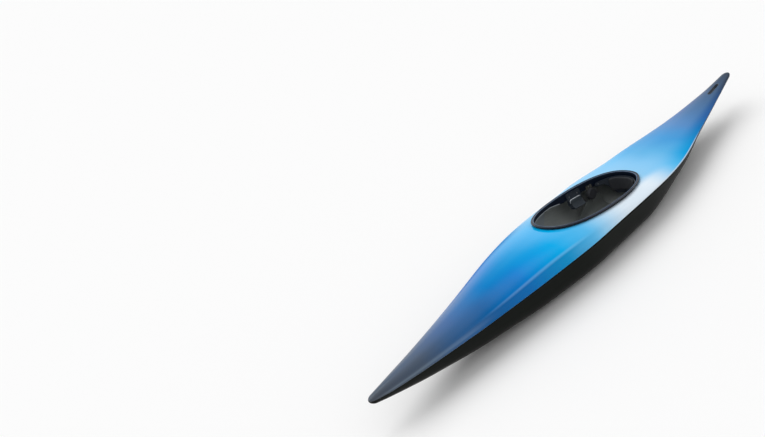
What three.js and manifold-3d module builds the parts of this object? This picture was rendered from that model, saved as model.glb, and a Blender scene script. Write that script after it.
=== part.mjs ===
// Slalom kayak in millimetres: +X points to the bow, +Y to port and +Z up.
// The origin lies on the ground under the middle of the boat.
// Hull and deck are two moulded shells that meet along the seam. A taped joint, a cockpit coaming,
// a hung seat, thigh braces, knee plates, foam pillars and a sliding footrest are fitted inside.
import * as THREE from 'three';
import { mergeVertices } from 'three/addons/utils/BufferGeometryUtils.js';
import Module from 'manifold-3d';

const wasm = await Module();
wasm.setup();

// Driving dimensions of the boat
const overallLength = 3500;
const overallBeam = 600;
const kneeHeight = 306;
const shellWall = 3;
const noseLength = 34;
const noseBlunt = 4;
const seamGap = 0.3;
const touchGap = 0.3;
const overrun = 6;

// Cockpit coaming: outer edge of the lip, how much the front stands higher than the rear, and its section
const cockpitCentre = -178;
const coamingLength = 802;
const coamingWidth = 434;
const coamingHeight = 253;
const coamingRise = 105;
const coamingCrossfall = 8;
const coamingExponent = 2.36;
const lipWidth = 18;
const lipThickness = 5;
const lipEdgeDepth = 7;
const lipCrownShare = 0.75;
const riserThickness = 3.5;
const riserDepth = 50;
const coamingRear = cockpitCentre - coamingLength / 2;

// Joint tape inside the seam
const tapeWidth = 46;
const tapeThickness = 1;
const tapeFrontStations = 1;
const tapeRearStations = 4;

// Stern grab slot and its liner
const slotFromStern = 183;
const slotLength = 118;
const slotWidth = 27;
const linerWall = 2.5;

// Seat pan, its foam, its hangers and the hip pads
const seatRear = -500;
const seatLength = 300;
const seatWidth = 352;
const seatFloorWidth = 250;
const seatDepth = 96;
const seatWall = 4;
const seatFloorWall = 3.5;
const seatFrontDepth = 34;
const seatPadThickness = 14;
const seatPadCrown = 6;
const seatPadMargin = 14;
const hangerFromRear = 169;
const hangerPlace = coamingRear + hangerFromRear;
const hangerWidth = 40;
const hangerThickness = 3;
const hipPadRadius = 34;
const hipPadThickness = 18;
const seatBoltDrop = 20;

// Foam is drawn in at its edges: the thickness left there, and how far in it is full, as shares
const foamEdgeShare = 0.35;
const foamDrawnShare = 0.16;

// Back band: a curved plate with foam on its front, hinged on two bolts
const bandGap = 14;
const bandHeight = 112;
const bandArmHeight = 26;
const bandArmReach = 14;
const bandThickness = 3;
const bandPadThickness = 12;
const bandPadHeight = 84;
const bandPivotFromRear = 124;
const bandPivotPlace = coamingRear + bandPivotFromRear;
const bandArmShare = 0.1;
const bandFullShare = 0.34;
const bandPadShare = 0.22;

// Thigh braces with foam on them
const braceFromRear = 234;
const braceRear = coamingRear + braceFromRear;
const braceLength = 113;
const braceThickness = 4;
const braceDepth = 98;
const braceDrop = 13;
const braceHook = 22;
const braceHookShare = 0.6;
const braceBoltShares = { rear: 0.2, front: 0.8 };
const bracePadThickness = 15;
const bracePadMargin = 10;
const bracePadTopShare = 0.4;

// Knee plates on the side walls ahead of the seat
const kneePlateRear = -150;
const kneePlateLength = 320;
const kneePlateSlant = 80;
const kneePlateTop = 232;
const kneePlateDepth = 118;
const kneePlateThickness = 5;

// Foam pillars that hold hull and deck apart
const pillarThickness = 36;
const bowPillarFromBow = 290;
const bowPillarLength = 520;
const sternPillarFromStern = 470;
const sternPillarFromCoaming = 81;

// Footrest: two rails on brackets, two sliders with clamp knobs, a bar and two foot plates
const footrestPlaceShare = 6 / 35;
const footrestPlace = overallLength * footrestPlaceShare;
const footrestTravel = 120;
const railSpacing = 276;
const railHeight = 100;
const railEnd = 28;
const railWidth = 10;
const railDepth = 24;
const grooveDepth = 3.5;
const grooveHeight = 13;
const bracketLength = 26;
const bracketDepth = 12;
const bracketInset = 28;
const sliderLength = 64;
const sliderLip = 3.5;
const barOffset = 16;
const sliderWall = 5;
const slideGap = 0.4;
const barDiameter = 22;
const footPlateWidth = 84;
const footPlateHeight = 124;
const footPlateThickness = 6;
const footPlateSpacing = 128;
const footClampWall = 5;
const footClampWidth = 40;
const footPlateHeightCentre = 105;
const barStubDiameter = 10;
const knobDiameter = 24;
const knobThickness = 9;
const knobShankDiameter = 6;

// Bolts
const boltDiameter = 5;
const boltHeadDiameter = 11;
const boltHeadThickness = 2.5;
const nutDiameter = 9;
const nutThickness = 4;
const boltFacets = 8;
const nutFacets = 6;
const boreGap = 0.3;
const boltDrop = 38;
const screwLength = 26;

// How finely the solids are divided
const stationCount = 32;
const tipCrowding = 0.72;
const coamingFacets = 52;
const endStations = 4;
const slotFacets = 5;
const roundFacets = 16;
const shankFacets = 12;
const weldDistance = 1e-4;

// Finishes
function finish(color, roughness, metalness = 0) {
  return new THREE.MeshStandardMaterial({ color, roughness, metalness });
}
const finishes = {
  hull: finish(0x242922, 0.35),
  deck: finish(0x2a97dc, 0.25),
  coaming: finish(0x1a1e26, 0.4),
  laminate: finish(0x4a4938, 0.55),
  carbon: finish(0x202226, 0.4),
  foam: finish(0x2a2b2e, 0.9),
  paleFoam: finish(0x8b9097, 0.9),
  webbing: finish(0x777355, 0.8),
  moulded: finish(0x1b1c1f, 0.6),
  aluminium: finish(0xa9acb0, 0.35, 0.9),
  steel: finish(0x8f9296, 0.3, 1),
};

// Lines of the boat. Each row holds the place from the bow as a share of the length, the half beam as a
// share of half the overall beam, and keel, seam and deck crown as shares of the knee height.
// The last share says how full the section is: 0 is the rounded end section, 1 the flat one amidships.
const lineShares = [
  [0.00, 0.075, 0.680, 0.760, 0.815, 0.00],
  [0.04, 0.165, 0.550, 0.700, 0.840, 0.00],
  [0.12, 0.325, 0.325, 0.645, 0.875, 0.05],
  [0.24, 0.570, 0.095, 0.610, 0.940, 0.30],
  [0.36, 0.805, 0.008, 0.612, 1.000, 0.75],
  [0.48, 0.975, 0.000, 0.620, 0.885, 1.00],
  [0.60, 1.000, 0.000, 0.598, 0.690, 1.00],
  [0.72, 0.845, 0.110, 0.515, 0.583, 0.40],
  [0.84, 0.485, 0.330, 0.543, 0.596, 0.15],
  [0.94, 0.222, 0.530, 0.628, 0.660, 0.10],
  [1.00, 0.085, 0.655, 0.725, 0.755, 0.05],
];

// Half sections. Hull pairs are shares of the half beam and of the height from keel to seam,
// deck pairs of the half beam and of the height from seam to crown.
const hullEndShares = [
  [0, 0], [0.32, 0.06], [0.55, 0.18], [0.74, 0.37], [0.87, 0.6], [0.96, 0.84], [1, 1],
];
const hullMiddleShares = [
  [0, 0], [0.45, 0], [0.64, 0.035], [0.78, 0.13], [0.885, 0.32], [0.955, 0.62], [1, 1],
];
const deckEndShares = [
  [1, 0], [0.985, 0.14], [0.9, 0.38], [0.78, 0.58], [0.63, 0.75],
  [0.47, 0.87], [0.3, 0.95], [0.15, 0.99], [0, 1],
];
const deckMiddleShares = [
  [1, 0], [0.985, 0.2], [0.93, 0.48], [0.85, 0.68], [0.74, 0.82],
  [0.58, 0.92], [0.4, 0.97], [0.2, 0.995], [0, 1],
];

function mix(from, to, share) {
  return from + (to - from) * share;
}

// Slope of a table column at a row, level where the column turns, so that no curve overshoots its rows.
function rowSlope(column, row) {
  if (row === 0 || row === lineShares.length - 1) {
    const first = row === 0 ? 0 : row - 1;
    const [start, end] = [lineShares[first], lineShares[first + 1]];
    return (end[column] - start[column]) / (end[0] - start[0]);
  }
  const [before, here, after] = [lineShares[row - 1], lineShares[row], lineShares[row + 1]];
  const rise = (here[column] - before[column]) / (here[0] - before[0]);
  const next = (after[column] - here[column]) / (after[0] - here[0]);
  return rise * next <= 0 ? 0 : (2 * rise * next) / (rise + next);
}

function lineValue(column, place) {
  let row = 0;
  while (row < lineShares.length - 2 && place > lineShares[row + 1][0]) row += 1;
  const [start, end] = [lineShares[row], lineShares[row + 1]];
  const span = end[0] - start[0];
  const t = THREE.MathUtils.clamp((place - start[0]) / span, 0, 1);
  const straight = mix(start[column], end[column], t * t * (3 - 2 * t));
  const bend = t * (1 - t) * (1 - t) * rowSlope(column, row) - t * t * (1 - t) * rowSlope(column, row + 1);
  return straight + bend * span;
}

// Half beam and heights at a place along the boat, drawn in round at both noses.
function stationAt(place) {
  const fromTip = Math.min(place, 1 - place) * overallLength + noseBlunt;
  const noseShare = Math.min(fromTip / noseLength, 1);
  const round = Math.sqrt(1 - (1 - noseShare) ** 2);
  const seam = lineValue(3, place) * kneeHeight;
  return {
    x: (0.5 - place) * overallLength,
    halfBeam: lineValue(1, place) * (overallBeam / 2) * round,
    seam,
    keel: mix(seam, lineValue(2, place) * kneeHeight, round),
    crown: mix(seam, lineValue(4, place) * kneeHeight, round),
    fullness: lineValue(5, place),
  };
}

// The port half section from keel to seam, then from seam to crown, as points of y and z.
function hullHalf(station, top = station.seam) {
  return hullEndShares.map(([y, z], i) => new THREE.Vector2(
    mix(y, hullMiddleShares[i][0], station.fullness) * station.halfBeam,
    mix(station.keel, top, mix(z, hullMiddleShares[i][1], station.fullness)),
  ));
}

function deckHalf(station, bottom = station.seam) {
  return deckEndShares.map(([y, z], i) => new THREE.Vector2(
    mix(y, deckMiddleShares[i][0], station.fullness) * station.halfBeam,
    mix(bottom, station.crown, mix(z, deckMiddleShares[i][1], station.fullness)),
  ));
}

// Height of the hull's outside at a place along the boat and out from its middle
function hullHeight(x, y) {
  const half = hullHalf(stationAt(0.5 - x / overallLength));
  const i = half.findIndex((p) => p.x >= y);
  return mix(half[i - 1].y, half[i].y, (y - half[i - 1].x) / (half[i].x - half[i - 1].x));
}

function mirrored(points) {
  return points.map((p) => new THREE.Vector2(-p.x, p.y)).reverse();
}

function hullRing(station) {
  const half = hullHalf(station, station.seam - seamGap / 2);
  return [...mirrored(half).slice(0, -1), ...half];
}

function deckRing(station) {
  const half = deckHalf(station, station.seam + seamGap / 2);
  return [...half.slice(0, -1), ...mirrored(half)];
}

function fullRing(station) {
  const port = [...hullHalf(station), ...deckHalf(station).slice(1)];
  return [...port, ...mirrored(port).slice(1, -1)];
}

// Draws a ring in, so that its sides, bottom and crown each move in by the distance.
function insetRing(ring, distance) {
  const halfWidth = Math.max(...ring.map((p) => p.x));
  const bottom = Math.min(...ring.map((p) => p.y));
  const height = Math.max(...ring.map((p) => p.y)) - bottom;
  const [narrower, lower] = [1 - distance / halfWidth, 1 - (2 * distance) / height];
  return ring.map((p) => new THREE.Vector2(p.x * narrower, bottom + distance + (p.y - bottom) * lower));
}

// Stations along the boat, close together at the noses.
const evenPlaces = Array.from({ length: stationCount - 1 }, (_, i) => (i + 1) / stationCount);
const noseShares = [0, 0.3, 0.8];
const nosePlaces = noseShares.map((share) => (share * noseLength) / overallLength);
const places = [
  ...nosePlaces,
  ...evenPlaces.map((even) => even - (tipCrowding * Math.sin(2 * Math.PI * even)) / (2 * Math.PI)),
  ...nosePlaces.map((place) => 1 - place).reverse(),
];
const innerPlaces = places.slice(endStations, -endStations);

// Turns points and faces into a closed geometry whose faces point out.
function closedGeometry(points, faces) {
  let volume = 0;
  for (const [a, b, c] of faces) {
    volume += points[a].dot(new THREE.Vector3().crossVectors(points[b], points[c]));
  }
  const corners = volume < 0 ? [0, 2, 1] : [0, 1, 2];
  const geometry = new THREE.BufferGeometry().setFromPoints(points);
  geometry.setIndex(faces.flatMap((face) => corners.map((corner) => face[corner])));
  return geometry;
}

function bandFaces(count, from, to) {
  const faces = [];
  for (let j = 0; j < count; j += 1) {
    const k = (j + 1) % count;
    faces.push([from + j, from + k, to + k], [from + j, to + k, to + j]);
  }
  return faces;
}

// Triangles that fill a flat ring and run the same way round as it does.
function capFaces(ring) {
  const along = Math.sign(THREE.ShapeUtils.area(ring));
  return THREE.ShapeUtils.triangulateShape(ring, []).map(([a, b, c]) => {
    const turned = Math.sign(THREE.ShapeUtils.area([ring[a], ring[b], ring[c]]));
    return turned === along ? [a, b, c] : [a, c, b];
  });
}

// A solid through flat rings of the same count, capped at both ends.
function loft(rings, toPoint) {
  const count = rings[0].length;
  const points = rings.flatMap((ring, i) => ring.map((p) => toPoint(p, i)));
  const faces = [];
  for (let i = 0; i + 1 < rings.length; i += 1) faces.push(...bandFaces(count, i * count, (i + 1) * count));
  const last = (rings.length - 1) * count;
  for (const [a, b, c] of capFaces(rings[0])) faces.push([a, c, b]);
  for (const [a, b, c] of capFaces(rings.at(-1))) faces.push([last + a, last + b, last + c]);
  return closedGeometry(points, faces);
}

function hullLoft(ringOf, atPlaces, inset = 0) {
  const stations = atPlaces.map(stationAt);
  const rings = stations.map((station) => insetRing(ringOf(station), inset));
  return loft(rings, (p, i) => new THREE.Vector3(stations[i].x, p.x, p.y));
}

// A sheet over a grid: pointAt gives its two faces for shares along and across.
function sheet(pointAt, along, across) {
  const points = [];
  for (const side of [0, 1]) {
    for (let i = 0; i <= along; i += 1) {
      for (let j = 0; j <= across; j += 1) points.push(pointAt(i / along, j / across, side));
    }
  }
  const row = across + 1;
  const layer = (along + 1) * row;
  const faces = [];
  for (let i = 0; i < along; i += 1) {
    for (let j = 0; j < across; j += 1) {
      const a = i * row + j;
      const b = a + row;
      faces.push([a, b, b + 1], [a, b + 1, a + 1]);
      faces.push([layer + a, layer + b + 1, layer + b], [layer + a, layer + a + 1, layer + b + 1]);
    }
  }
  const edge = [];
  for (let j = 0; j < across; j += 1) edge.push(j);
  for (let i = 0; i < along; i += 1) edge.push(i * row + across);
  for (let j = across; j > 0; j -= 1) edge.push(along * row + j);
  for (let i = along; i > 0; i -= 1) edge.push(i * row);
  edge.forEach((a, i) => {
    const b = edge[(i + 1) % edge.length];
    faces.push([a, b, layer + b], [a, layer + b, layer + a]);
  });
  return closedGeometry(points, faces);
}

// Solids to join and cut
function solidOf(geometry) {
  const plain = geometry.clone();
  plain.deleteAttribute('normal');
  plain.deleteAttribute('uv');
  const merged = mergeVertices(plain, weldDistance);
  return new wasm.Manifold(new wasm.Mesh({
    numProp: 3,
    vertProperties: new Float32Array(merged.attributes.position.array),
    triVerts: new Uint32Array(merged.index.array),
  }));
}

function geometryOf(solid) {
  const { vertProperties, triVerts, numProp } = solid.getMesh();
  const positions = new Float32Array((vertProperties.length / numProp) * 3);
  for (let i = 0; i < positions.length / 3; i += 1) {
    positions.set(vertProperties.subarray(i * numProp, i * numProp + 3), i * 3);
  }
  const geometry = new THREE.BufferGeometry();
  geometry.setAttribute('position', new THREE.BufferAttribute(positions, 3));
  geometry.setIndex(Array.from(triVerts));
  return geometry;
}

function box(minimum, maximum) {
  const size = new THREE.Vector3().subVectors(maximum, minimum);
  const middle = new THREE.Vector3().addVectors(minimum, maximum).multiplyScalar(0.5);
  return new THREE.BoxGeometry(size.x, size.y, size.z).translate(middle.x, middle.y, middle.z);
}

// A cylinder from one point along a direction.
function rod(start, direction, length, diameter, facets) {
  const geometry = new THREE.CylinderGeometry(diameter / 2, diameter / 2, length, facets);
  geometry.translate(0, length / 2, 0);
  geometry.applyQuaternion(new THREE.Quaternion().setFromUnitVectors(new THREE.Vector3(0, 1, 0), direction));
  return geometry.translate(start.x, start.y, start.z);
}

const kayak = new THREE.Group();

function addPart(name, shape, material) {
  const geometry = shape.isBufferGeometry ? shape : geometryOf(shape);
  const mesh = new THREE.Mesh(geometry, material);
  mesh.name = name;
  kayak.add(mesh);
  return mesh;
}

const sides = [['port', 1], ['starboard', -1]];

// Shapes that the shells and the fittings share
const innerSolid = (inset) => solidOf(hullLoft(fullRing, innerPlaces, inset));
const insideWalls = innerSolid(shellWall);
const fittedSpace = innerSolid(shellWall + touchGap);
const tapedSpace = innerSolid(shellWall + 2 * touchGap + tapeThickness);

function stadium(length, width) {
  const shape = new THREE.Shape();
  const straight = (length - width) / 2;
  shape.absarc(straight, 0, width / 2, -Math.PI / 2, Math.PI / 2);
  shape.absarc(-straight, 0, width / 2, Math.PI / 2, 1.5 * Math.PI);
  shape.closePath();
  return shape;
}

function slotPrism(grow) {
  const height = kneeHeight + 2 * overrun;
  const geometry = new THREE.ExtrudeGeometry(stadium(slotLength + 2 * grow, slotWidth + 2 * grow), {
    depth: height,
    bevelEnabled: false,
    curveSegments: slotFacets,
  });
  return solidOf(geometry.translate(slotFromStern - overallLength / 2, 0, -overrun));
}

// Plan of the cockpit: the inner face of the riser, grown by an offset.
const openingHalfLength = coamingLength / 2 - lipWidth;
const openingHalfWidth = coamingWidth / 2 - lipWidth;

function coamingPlan(angle, offset) {
  const power = 2 / coamingExponent;
  const [c, s] = [Math.cos(angle), Math.sin(angle)];
  return new THREE.Vector2(
    cockpitCentre + (openingHalfLength + offset) * Math.sign(c) * Math.abs(c) ** power,
    (openingHalfWidth + offset) * Math.sign(s) * Math.abs(s) ** power,
  );
}

// Half width of the faceted plan at a place along the boat
function openingHalfWidthAt(x, offset = 0) {
  const steps = coamingFacets / 2;
  const plan = Array.from({ length: steps + 1 }, (_, i) => coamingPlan((Math.PI * i) / steps, offset));
  const i = plan.findIndex((p) => p.x <= x);
  const [front, rear] = [plan[i - 1], plan[i]];
  return mix(front.y, rear.y, (front.x - x) / (front.x - rear.x));
}

function coamingTop(x, y) {
  const slope = coamingRise / coamingLength;
  return coamingHeight + slope * (x - cockpitCentre) - coamingCrossfall * (y / openingHalfWidth) ** 2;
}

// Holes that bolts need, by the name of the part that they go through
const boltHoles = {};

function drilled(name, shape) {
  let solid = shape.isBufferGeometry ? solidOf(shape) : shape;
  for (const hole of boltHoles[name] ?? []) solid = solid.subtract(hole);
  return solid;
}

// A bolt with its nut. It starts at the near face of a stack, runs along the direction and grips the stack.
function addBolt(name, face, direction, grip, partNames, collar = null) {
  const slack = touchGap;
  const head = rod(
    face.clone().addScaledVector(direction, -boltHeadThickness - slack),
    direction,
    boltHeadThickness,
    boltHeadDiameter,
    boltFacets,
  );
  const reach = grip + 2 * slack + nutThickness;
  const shank = rod(
    face.clone().addScaledVector(direction, -slack - boltHeadThickness / 2),
    direction,
    reach + boltHeadThickness / 2 - slack,
    boltDiameter,
    boltFacets,
  );
  const nutFace = face.clone().addScaledVector(direction, grip + slack);
  const nut = rod(nutFace, direction, nutThickness, nutDiameter, nutFacets);
  let solid = solidOf(head).add(solidOf(shank)).add(solidOf(nut));
  if (collar) {
    const start = face.clone().addScaledVector(direction, collar.from + slack);
    solid = solid.add(solidOf(rod(start, direction, collar.length - 2 * slack, nutDiameter, boltFacets)));
  }
  addPart(name, solid, finishes.steel);
  const hole = rod(
    face.clone().addScaledVector(direction, -overrun),
    direction,
    grip + 2 * overrun,
    boltDiameter + 2 * boreGap,
    boltFacets,
  );
  for (const part of partNames) (boltHoles[part] ??= []).push(solidOf(hole));
}

// Bolts through the riser of the coaming hold the seat hangers, the braces and the back band.
// A bolt starts at the inboard face of what hangs on the riser.
function riserPoint(x, sign, inward) {
  const y = openingHalfWidthAt(x);
  const turn = (openingHalfWidthAt(x + overrun) - openingHalfWidthAt(x - overrun)) / (2 * overrun);
  const outward = new THREE.Vector3(-turn, sign, 0).normalize();
  const face = new THREE.Vector3(x, sign * y, coamingTop(x, y) - boltDrop).addScaledVector(outward, -inward);
  return { face, outward };
}

// Seat: a pan on the hull floor with low walls, foam in it, and a hanger on each side
const seatBase = shellWall;
const seatTop = seatBase + seatDepth;
const seatFloorTop = hullHeight(seatRear, seatFloorWidth / 2) + shellWall + touchGap + seatFloorWall;

// The pan curves up from its flat floor: shares of the way out to the wall and of the wall's height
const seatCurveShares = [[0, 0], [0.55, 0.08], [0.9, 0.28], [1, 0.58], [1, 1]];

// Half section of the pan from the middle to the top of its wall, for its outer or inner face
function seatHalf(wallTop, inner) {
  const halfWidth = seatWidth / 2 - (inner ? seatWall : 0);
  const floor = inner ? seatFloorTop : seatBase;
  const curve = seatCurveShares.map(([out, up]) => (
    new THREE.Vector2(mix(seatFloorWidth / 2, halfWidth, out), mix(floor, wallTop, up))
  ));
  return [new THREE.Vector2(0, floor), ...curve];
}

const seatWallShares = [[0, 0.86], [0.12, 1], [0.5, 1], [0.78, 0.55], [1, seatFrontDepth / seatDepth]];
const seatRings = seatWallShares.map(([, share]) => {
  const wallTop = seatBase + seatDepth * share;
  const outer = seatHalf(wallTop, false);
  const inner = seatHalf(wallTop, true);
  const back = [...mirrored(inner).slice(0, -1), ...inner].reverse();
  return [...mirrored(outer).slice(0, -1), ...outer, ...back];
});
const seatSolid = solidOf(loft(seatRings, (p, i) => (
  new THREE.Vector3(seatRear + seatWallShares[i][0] * seatLength, p.x, p.y)
))).intersect(fittedSpace);

// Thickness of foam at shares along and across it
function foamShare(along, across) {
  const edge = Math.min(along, 1 - along, across, 1 - across);
  return Math.sqrt(mix(foamEdgeShare, 1, Math.min(1, edge / foamDrawnShare)));
}

const seatPadLength = seatLength - 2 * seatPadMargin;
const seatPadWidth = seatFloorWidth - 2 * seatPadMargin;
const seatPad = sheet((along, across, side) => {
  const crown = seatPadCrown * Math.sin(Math.PI * along) * Math.sin(Math.PI * across);
  const height = seatPadThickness * foamShare(along, across) + crown;
  return new THREE.Vector3(
    seatRear + seatPadMargin + along * seatPadLength,
    (across - 0.5) * seatPadWidth,
    seatFloorTop + touchGap + side * height,
  );
}, 8, 8);

// Inboard face of a hanger: it lies on the riser above and on the outside of the seat wall below
const hangerTop = coamingTop(hangerPlace, openingHalfWidth) - boltDrop + boltHeadDiameter;
const hangerKnee = coamingTop(hangerPlace, openingHalfWidth) - riserDepth - touchGap;
const hangerFoot = seatTop - 2 * seatBoltDrop;
const hangerHeights = [hangerTop, hangerKnee, seatTop, hangerFoot];

function hangerFace(x, row) {
  const onRiser = openingHalfWidthAt(x) - touchGap - hangerThickness;
  return row < 2 ? onRiser : seatWidth / 2 + touchGap;
}

function hangerSheet(sign, width, from, to) {
  return sheet((along, across, side) => {
    const row = Math.round(across * (hangerHeights.length - 1));
    const x = hangerPlace + (along - 0.5) * width;
    return new THREE.Vector3(x, sign * (hangerFace(x, row) + (side ? to : from)), hangerHeights[row]);
  }, 4, hangerHeights.length - 1);
}

const outboard = (sign) => new THREE.Vector3(0, sign, 0);

for (const [side, sign] of sides) {
  const upper = riserPoint(hangerPlace, sign, hangerThickness + touchGap);
  addBolt(`hanger_bolt_${side}`, upper.face, upper.outward, hangerThickness + touchGap + riserThickness, [
    `seat_hanger_${side}`, 'cockpit_coaming',
  ]);
  const lower = new THREE.Vector3(hangerPlace, sign * (seatWidth / 2 - seatWall), seatTop - seatBoltDrop);
  addBolt(`seat_bolt_${side}`, lower, outboard(sign), seatWall + touchGap + hangerThickness, [
    `seat_hanger_${side}`, 'seat_pan',
  ]);
  const strap = hangerSheet(sign, hangerWidth, 0, hangerThickness);
  addPart(`seat_hanger_${side}`, drilled(`seat_hanger_${side}`, strap), finishes.webbing);
  const padHeight = seatTop + touchGap + hipPadRadius;
  const padFace = hangerFace(hangerPlace, 0) - hipPadThickness;
  const padStart = new THREE.Vector3(hangerPlace, sign * padFace, padHeight);
  const padBlank = rod(padStart, outboard(sign), seatWidth / 2, 2 * hipPadRadius, roundFacets);
  const behind = hangerSheet(sign, 2 * hipPadRadius + 2 * overrun, -touchGap, overallBeam / 2);
  addPart(`hip_pad_${side}`, solidOf(padBlank).subtract(solidOf(behind)), finishes.foam);
}
addPart('seat_pan', drilled('seat_pan', seatSolid), finishes.laminate);
addPart('seat_pad', seatPad, finishes.foam);

// Thigh braces: plates on the riser that hook inboard at the foot, with foam on the face
function braceFace(x, down) {
  const hook = braceHook * Math.max(0, (down - braceHookShare) / (1 - braceHookShare)) ** 2;
  return openingHalfWidthAt(x) - touchGap - braceThickness - hook;
}

for (const [side, sign] of sides) {
  for (const [end, share] of Object.entries(braceBoltShares)) {
    const point = riserPoint(braceRear + share * braceLength, sign, braceThickness + touchGap);
    const grip = braceThickness + touchGap + riserThickness;
    addBolt(`brace_bolt_${side}_${end}`, point.face, point.outward, grip, [
      `thigh_brace_${side}`, 'cockpit_coaming',
    ]);
  }
  const bracePoint = (x, down, offset) => new THREE.Vector3(
    x,
    sign * (braceFace(x, down) + offset),
    coamingTop(x, openingHalfWidth) - braceDrop - down * braceDepth,
  );
  const brace = sheet((along, down, face) => (
    bracePoint(braceRear + along * braceLength, down, face * braceThickness)
  ), 4, 10);
  addPart(`thigh_brace_${side}`, drilled(`thigh_brace_${side}`, brace), finishes.carbon);
  const pad = sheet((along, down, face) => {
    const x = braceRear + mix(bracePadMargin, braceLength - bracePadMargin, along);
    const thickness = bracePadThickness * foamShare(along, down);
    return bracePoint(x, mix(bracePadTopShare, 1, down), -2 * touchGap - face * thickness);
  }, 8, 6);
  addPart(`thigh_pad_${side}`, pad, finishes.foam);
}

// Back band: its bolts carry a collar from the band to the riser
function planAngle(x, offset) {
  const share = Math.abs(x - cockpitCentre) / (openingHalfLength + offset);
  return Math.acos(Math.sign(x - cockpitCentre) * share ** (coamingExponent / 2));
}

const bandPivotHeight = coamingTop(bandPivotPlace, openingHalfWidth) - boltDrop;
const bandTop = bandPivotHeight + bandArmHeight / 2;
const bandStart = planAngle(bandPivotPlace + bandArmReach, -bandGap);

function bandDepth(share) {
  const fromArm = THREE.MathUtils.smoothstep(Math.min(share, 1 - share), bandArmShare, bandFullShare);
  return mix(bandArmHeight, bandHeight, fromArm);
}

for (const [side, sign] of sides) {
  const innerY = openingHalfWidthAt(bandPivotPlace, -bandGap);
  const outerY = openingHalfWidthAt(bandPivotPlace);
  const face = new THREE.Vector3(bandPivotPlace, sign * (innerY - 2 * bandThickness), bandPivotHeight);
  const grip = outerY - innerY + 2 * bandThickness + 2 * riserThickness;
  addBolt(`band_bolt_${side}`, face, outboard(sign), grip, ['back_band', 'cockpit_coaming'], {
    from: 3 * bandThickness,
    length: outerY - innerY - 2 * bandThickness,
  });
}
const backBand = sheet((along, down, face) => {
  const plan = coamingPlan(mix(bandStart, 2 * Math.PI - bandStart, along), -bandGap - face * bandThickness);
  return new THREE.Vector3(plan.x, plan.y, bandTop - down * bandDepth(along));
}, 20, 2);
addPart('back_band', drilled('back_band', backBand), finishes.carbon);
const backBandPad = sheet((along, down, face) => {
  const share = mix(bandPadShare, 1 - bandPadShare, along);
  const offset = -bandGap - bandThickness - touchGap - face * bandPadThickness * foamShare(along, down);
  const plan = coamingPlan(mix(bandStart, 2 * Math.PI - bandStart, share), offset);
  const depth = Math.min(bandPadHeight, bandDepth(share) - 2 * bandThickness);
  return new THREE.Vector3(plan.x, plan.y, bandTop - bandThickness - down * depth);
}, 12, 6);
addPart('back_band_pad', backBandPad, finishes.foam);

// Hull and deck shells, each a moulded skin with solid noses
function coamingPrism(offset) {
  const ring = Array.from({ length: coamingFacets }, (_, i) => (
    coamingPlan((2 * Math.PI * i) / coamingFacets, offset)
  ));
  const heights = [coamingHeight - coamingRise - riserDepth, coamingHeight + coamingRise];
  return solidOf(loft([ring, ring], (p, i) => new THREE.Vector3(p.x, p.y, heights[i])));
}

const sternSlot = slotPrism(touchGap);
const hull = solidOf(hullLoft(hullRing, places)).subtract(insideWalls).subtract(sternSlot);
const deck = solidOf(hullLoft(deckRing, places)).subtract(insideWalls).subtract(sternSlot);
addPart('hull_shell', hull, finishes.hull);
addPart('deck_shell', deck.subtract(coamingPrism(riserThickness + touchGap)), finishes.deck);

// Joint tape along the seam on both sides, between the end blocks
const tapePlaces = innerPlaces.slice(tapeFrontStations, -tapeRearStations);

function seamBand(side) {
  const rings = tapePlaces.map((place) => {
    const { seam, halfBeam } = stationAt(place);
    const half = tapeWidth / 2;
    const inboard = Math.max(halfBeam - tapeWidth, tapeThickness);
    return [[inboard, -half], [overallBeam, -half], [overallBeam, half], [inboard, half]]
      .map(([y, z]) => new THREE.Vector2(y * side, seam + z));
  });
  return solidOf(loft(rings, (p, i) => new THREE.Vector3(stationAt(tapePlaces[i]).x, p.x, p.y)));
}

const tapeSkin = fittedSpace.subtract(innerSolid(shellWall + touchGap + tapeThickness));
for (const [side, sign] of sides) {
  addPart(`seam_tape_${side}`, tapeSkin.intersect(seamBand(sign)), finishes.laminate);
}

// Stern slot liner, flush with the outside of the boat
const wholeBoat = solidOf(hullLoft(fullRing, places));
const sternLiner = slotPrism(0).subtract(slotPrism(-linerWall)).intersect(wholeBoat);
addPart('stern_slot_liner', sternLiner, finishes.moulded);

// Cockpit coaming: a riser through the opening with a turned-out lip
const coamingSection = [
  [0, -riserDepth],
  [0, -lipThickness / 2],
  [riserThickness, 0],
  [lipWidth * lipCrownShare, 0],
  [lipWidth, -lipThickness / 2],
  [lipWidth, -lipEdgeDepth],
  [lipWidth * lipCrownShare, -lipThickness],
  [riserThickness, -lipThickness],
  [riserThickness, -riserDepth],
];
const coamingPoints = [];
const coamingFaces = [];
for (let i = 0; i < coamingFacets; i += 1) {
  const angle = (2 * Math.PI * i) / coamingFacets;
  const inner = coamingPlan(angle, 0);
  for (const [offset, z] of coamingSection) {
    const plan = coamingPlan(angle, offset);
    coamingPoints.push(new THREE.Vector3(plan.x, plan.y, coamingTop(inner.x, inner.y) + z));
  }
  const count = coamingSection.length;
  coamingFaces.push(...bandFaces(count, i * count, ((i + 1) % coamingFacets) * count));
}
const coaming = closedGeometry(coamingPoints, coamingFaces);
addPart('cockpit_coaming', drilled('cockpit_coaming', coaming), finishes.coaming);

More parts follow.
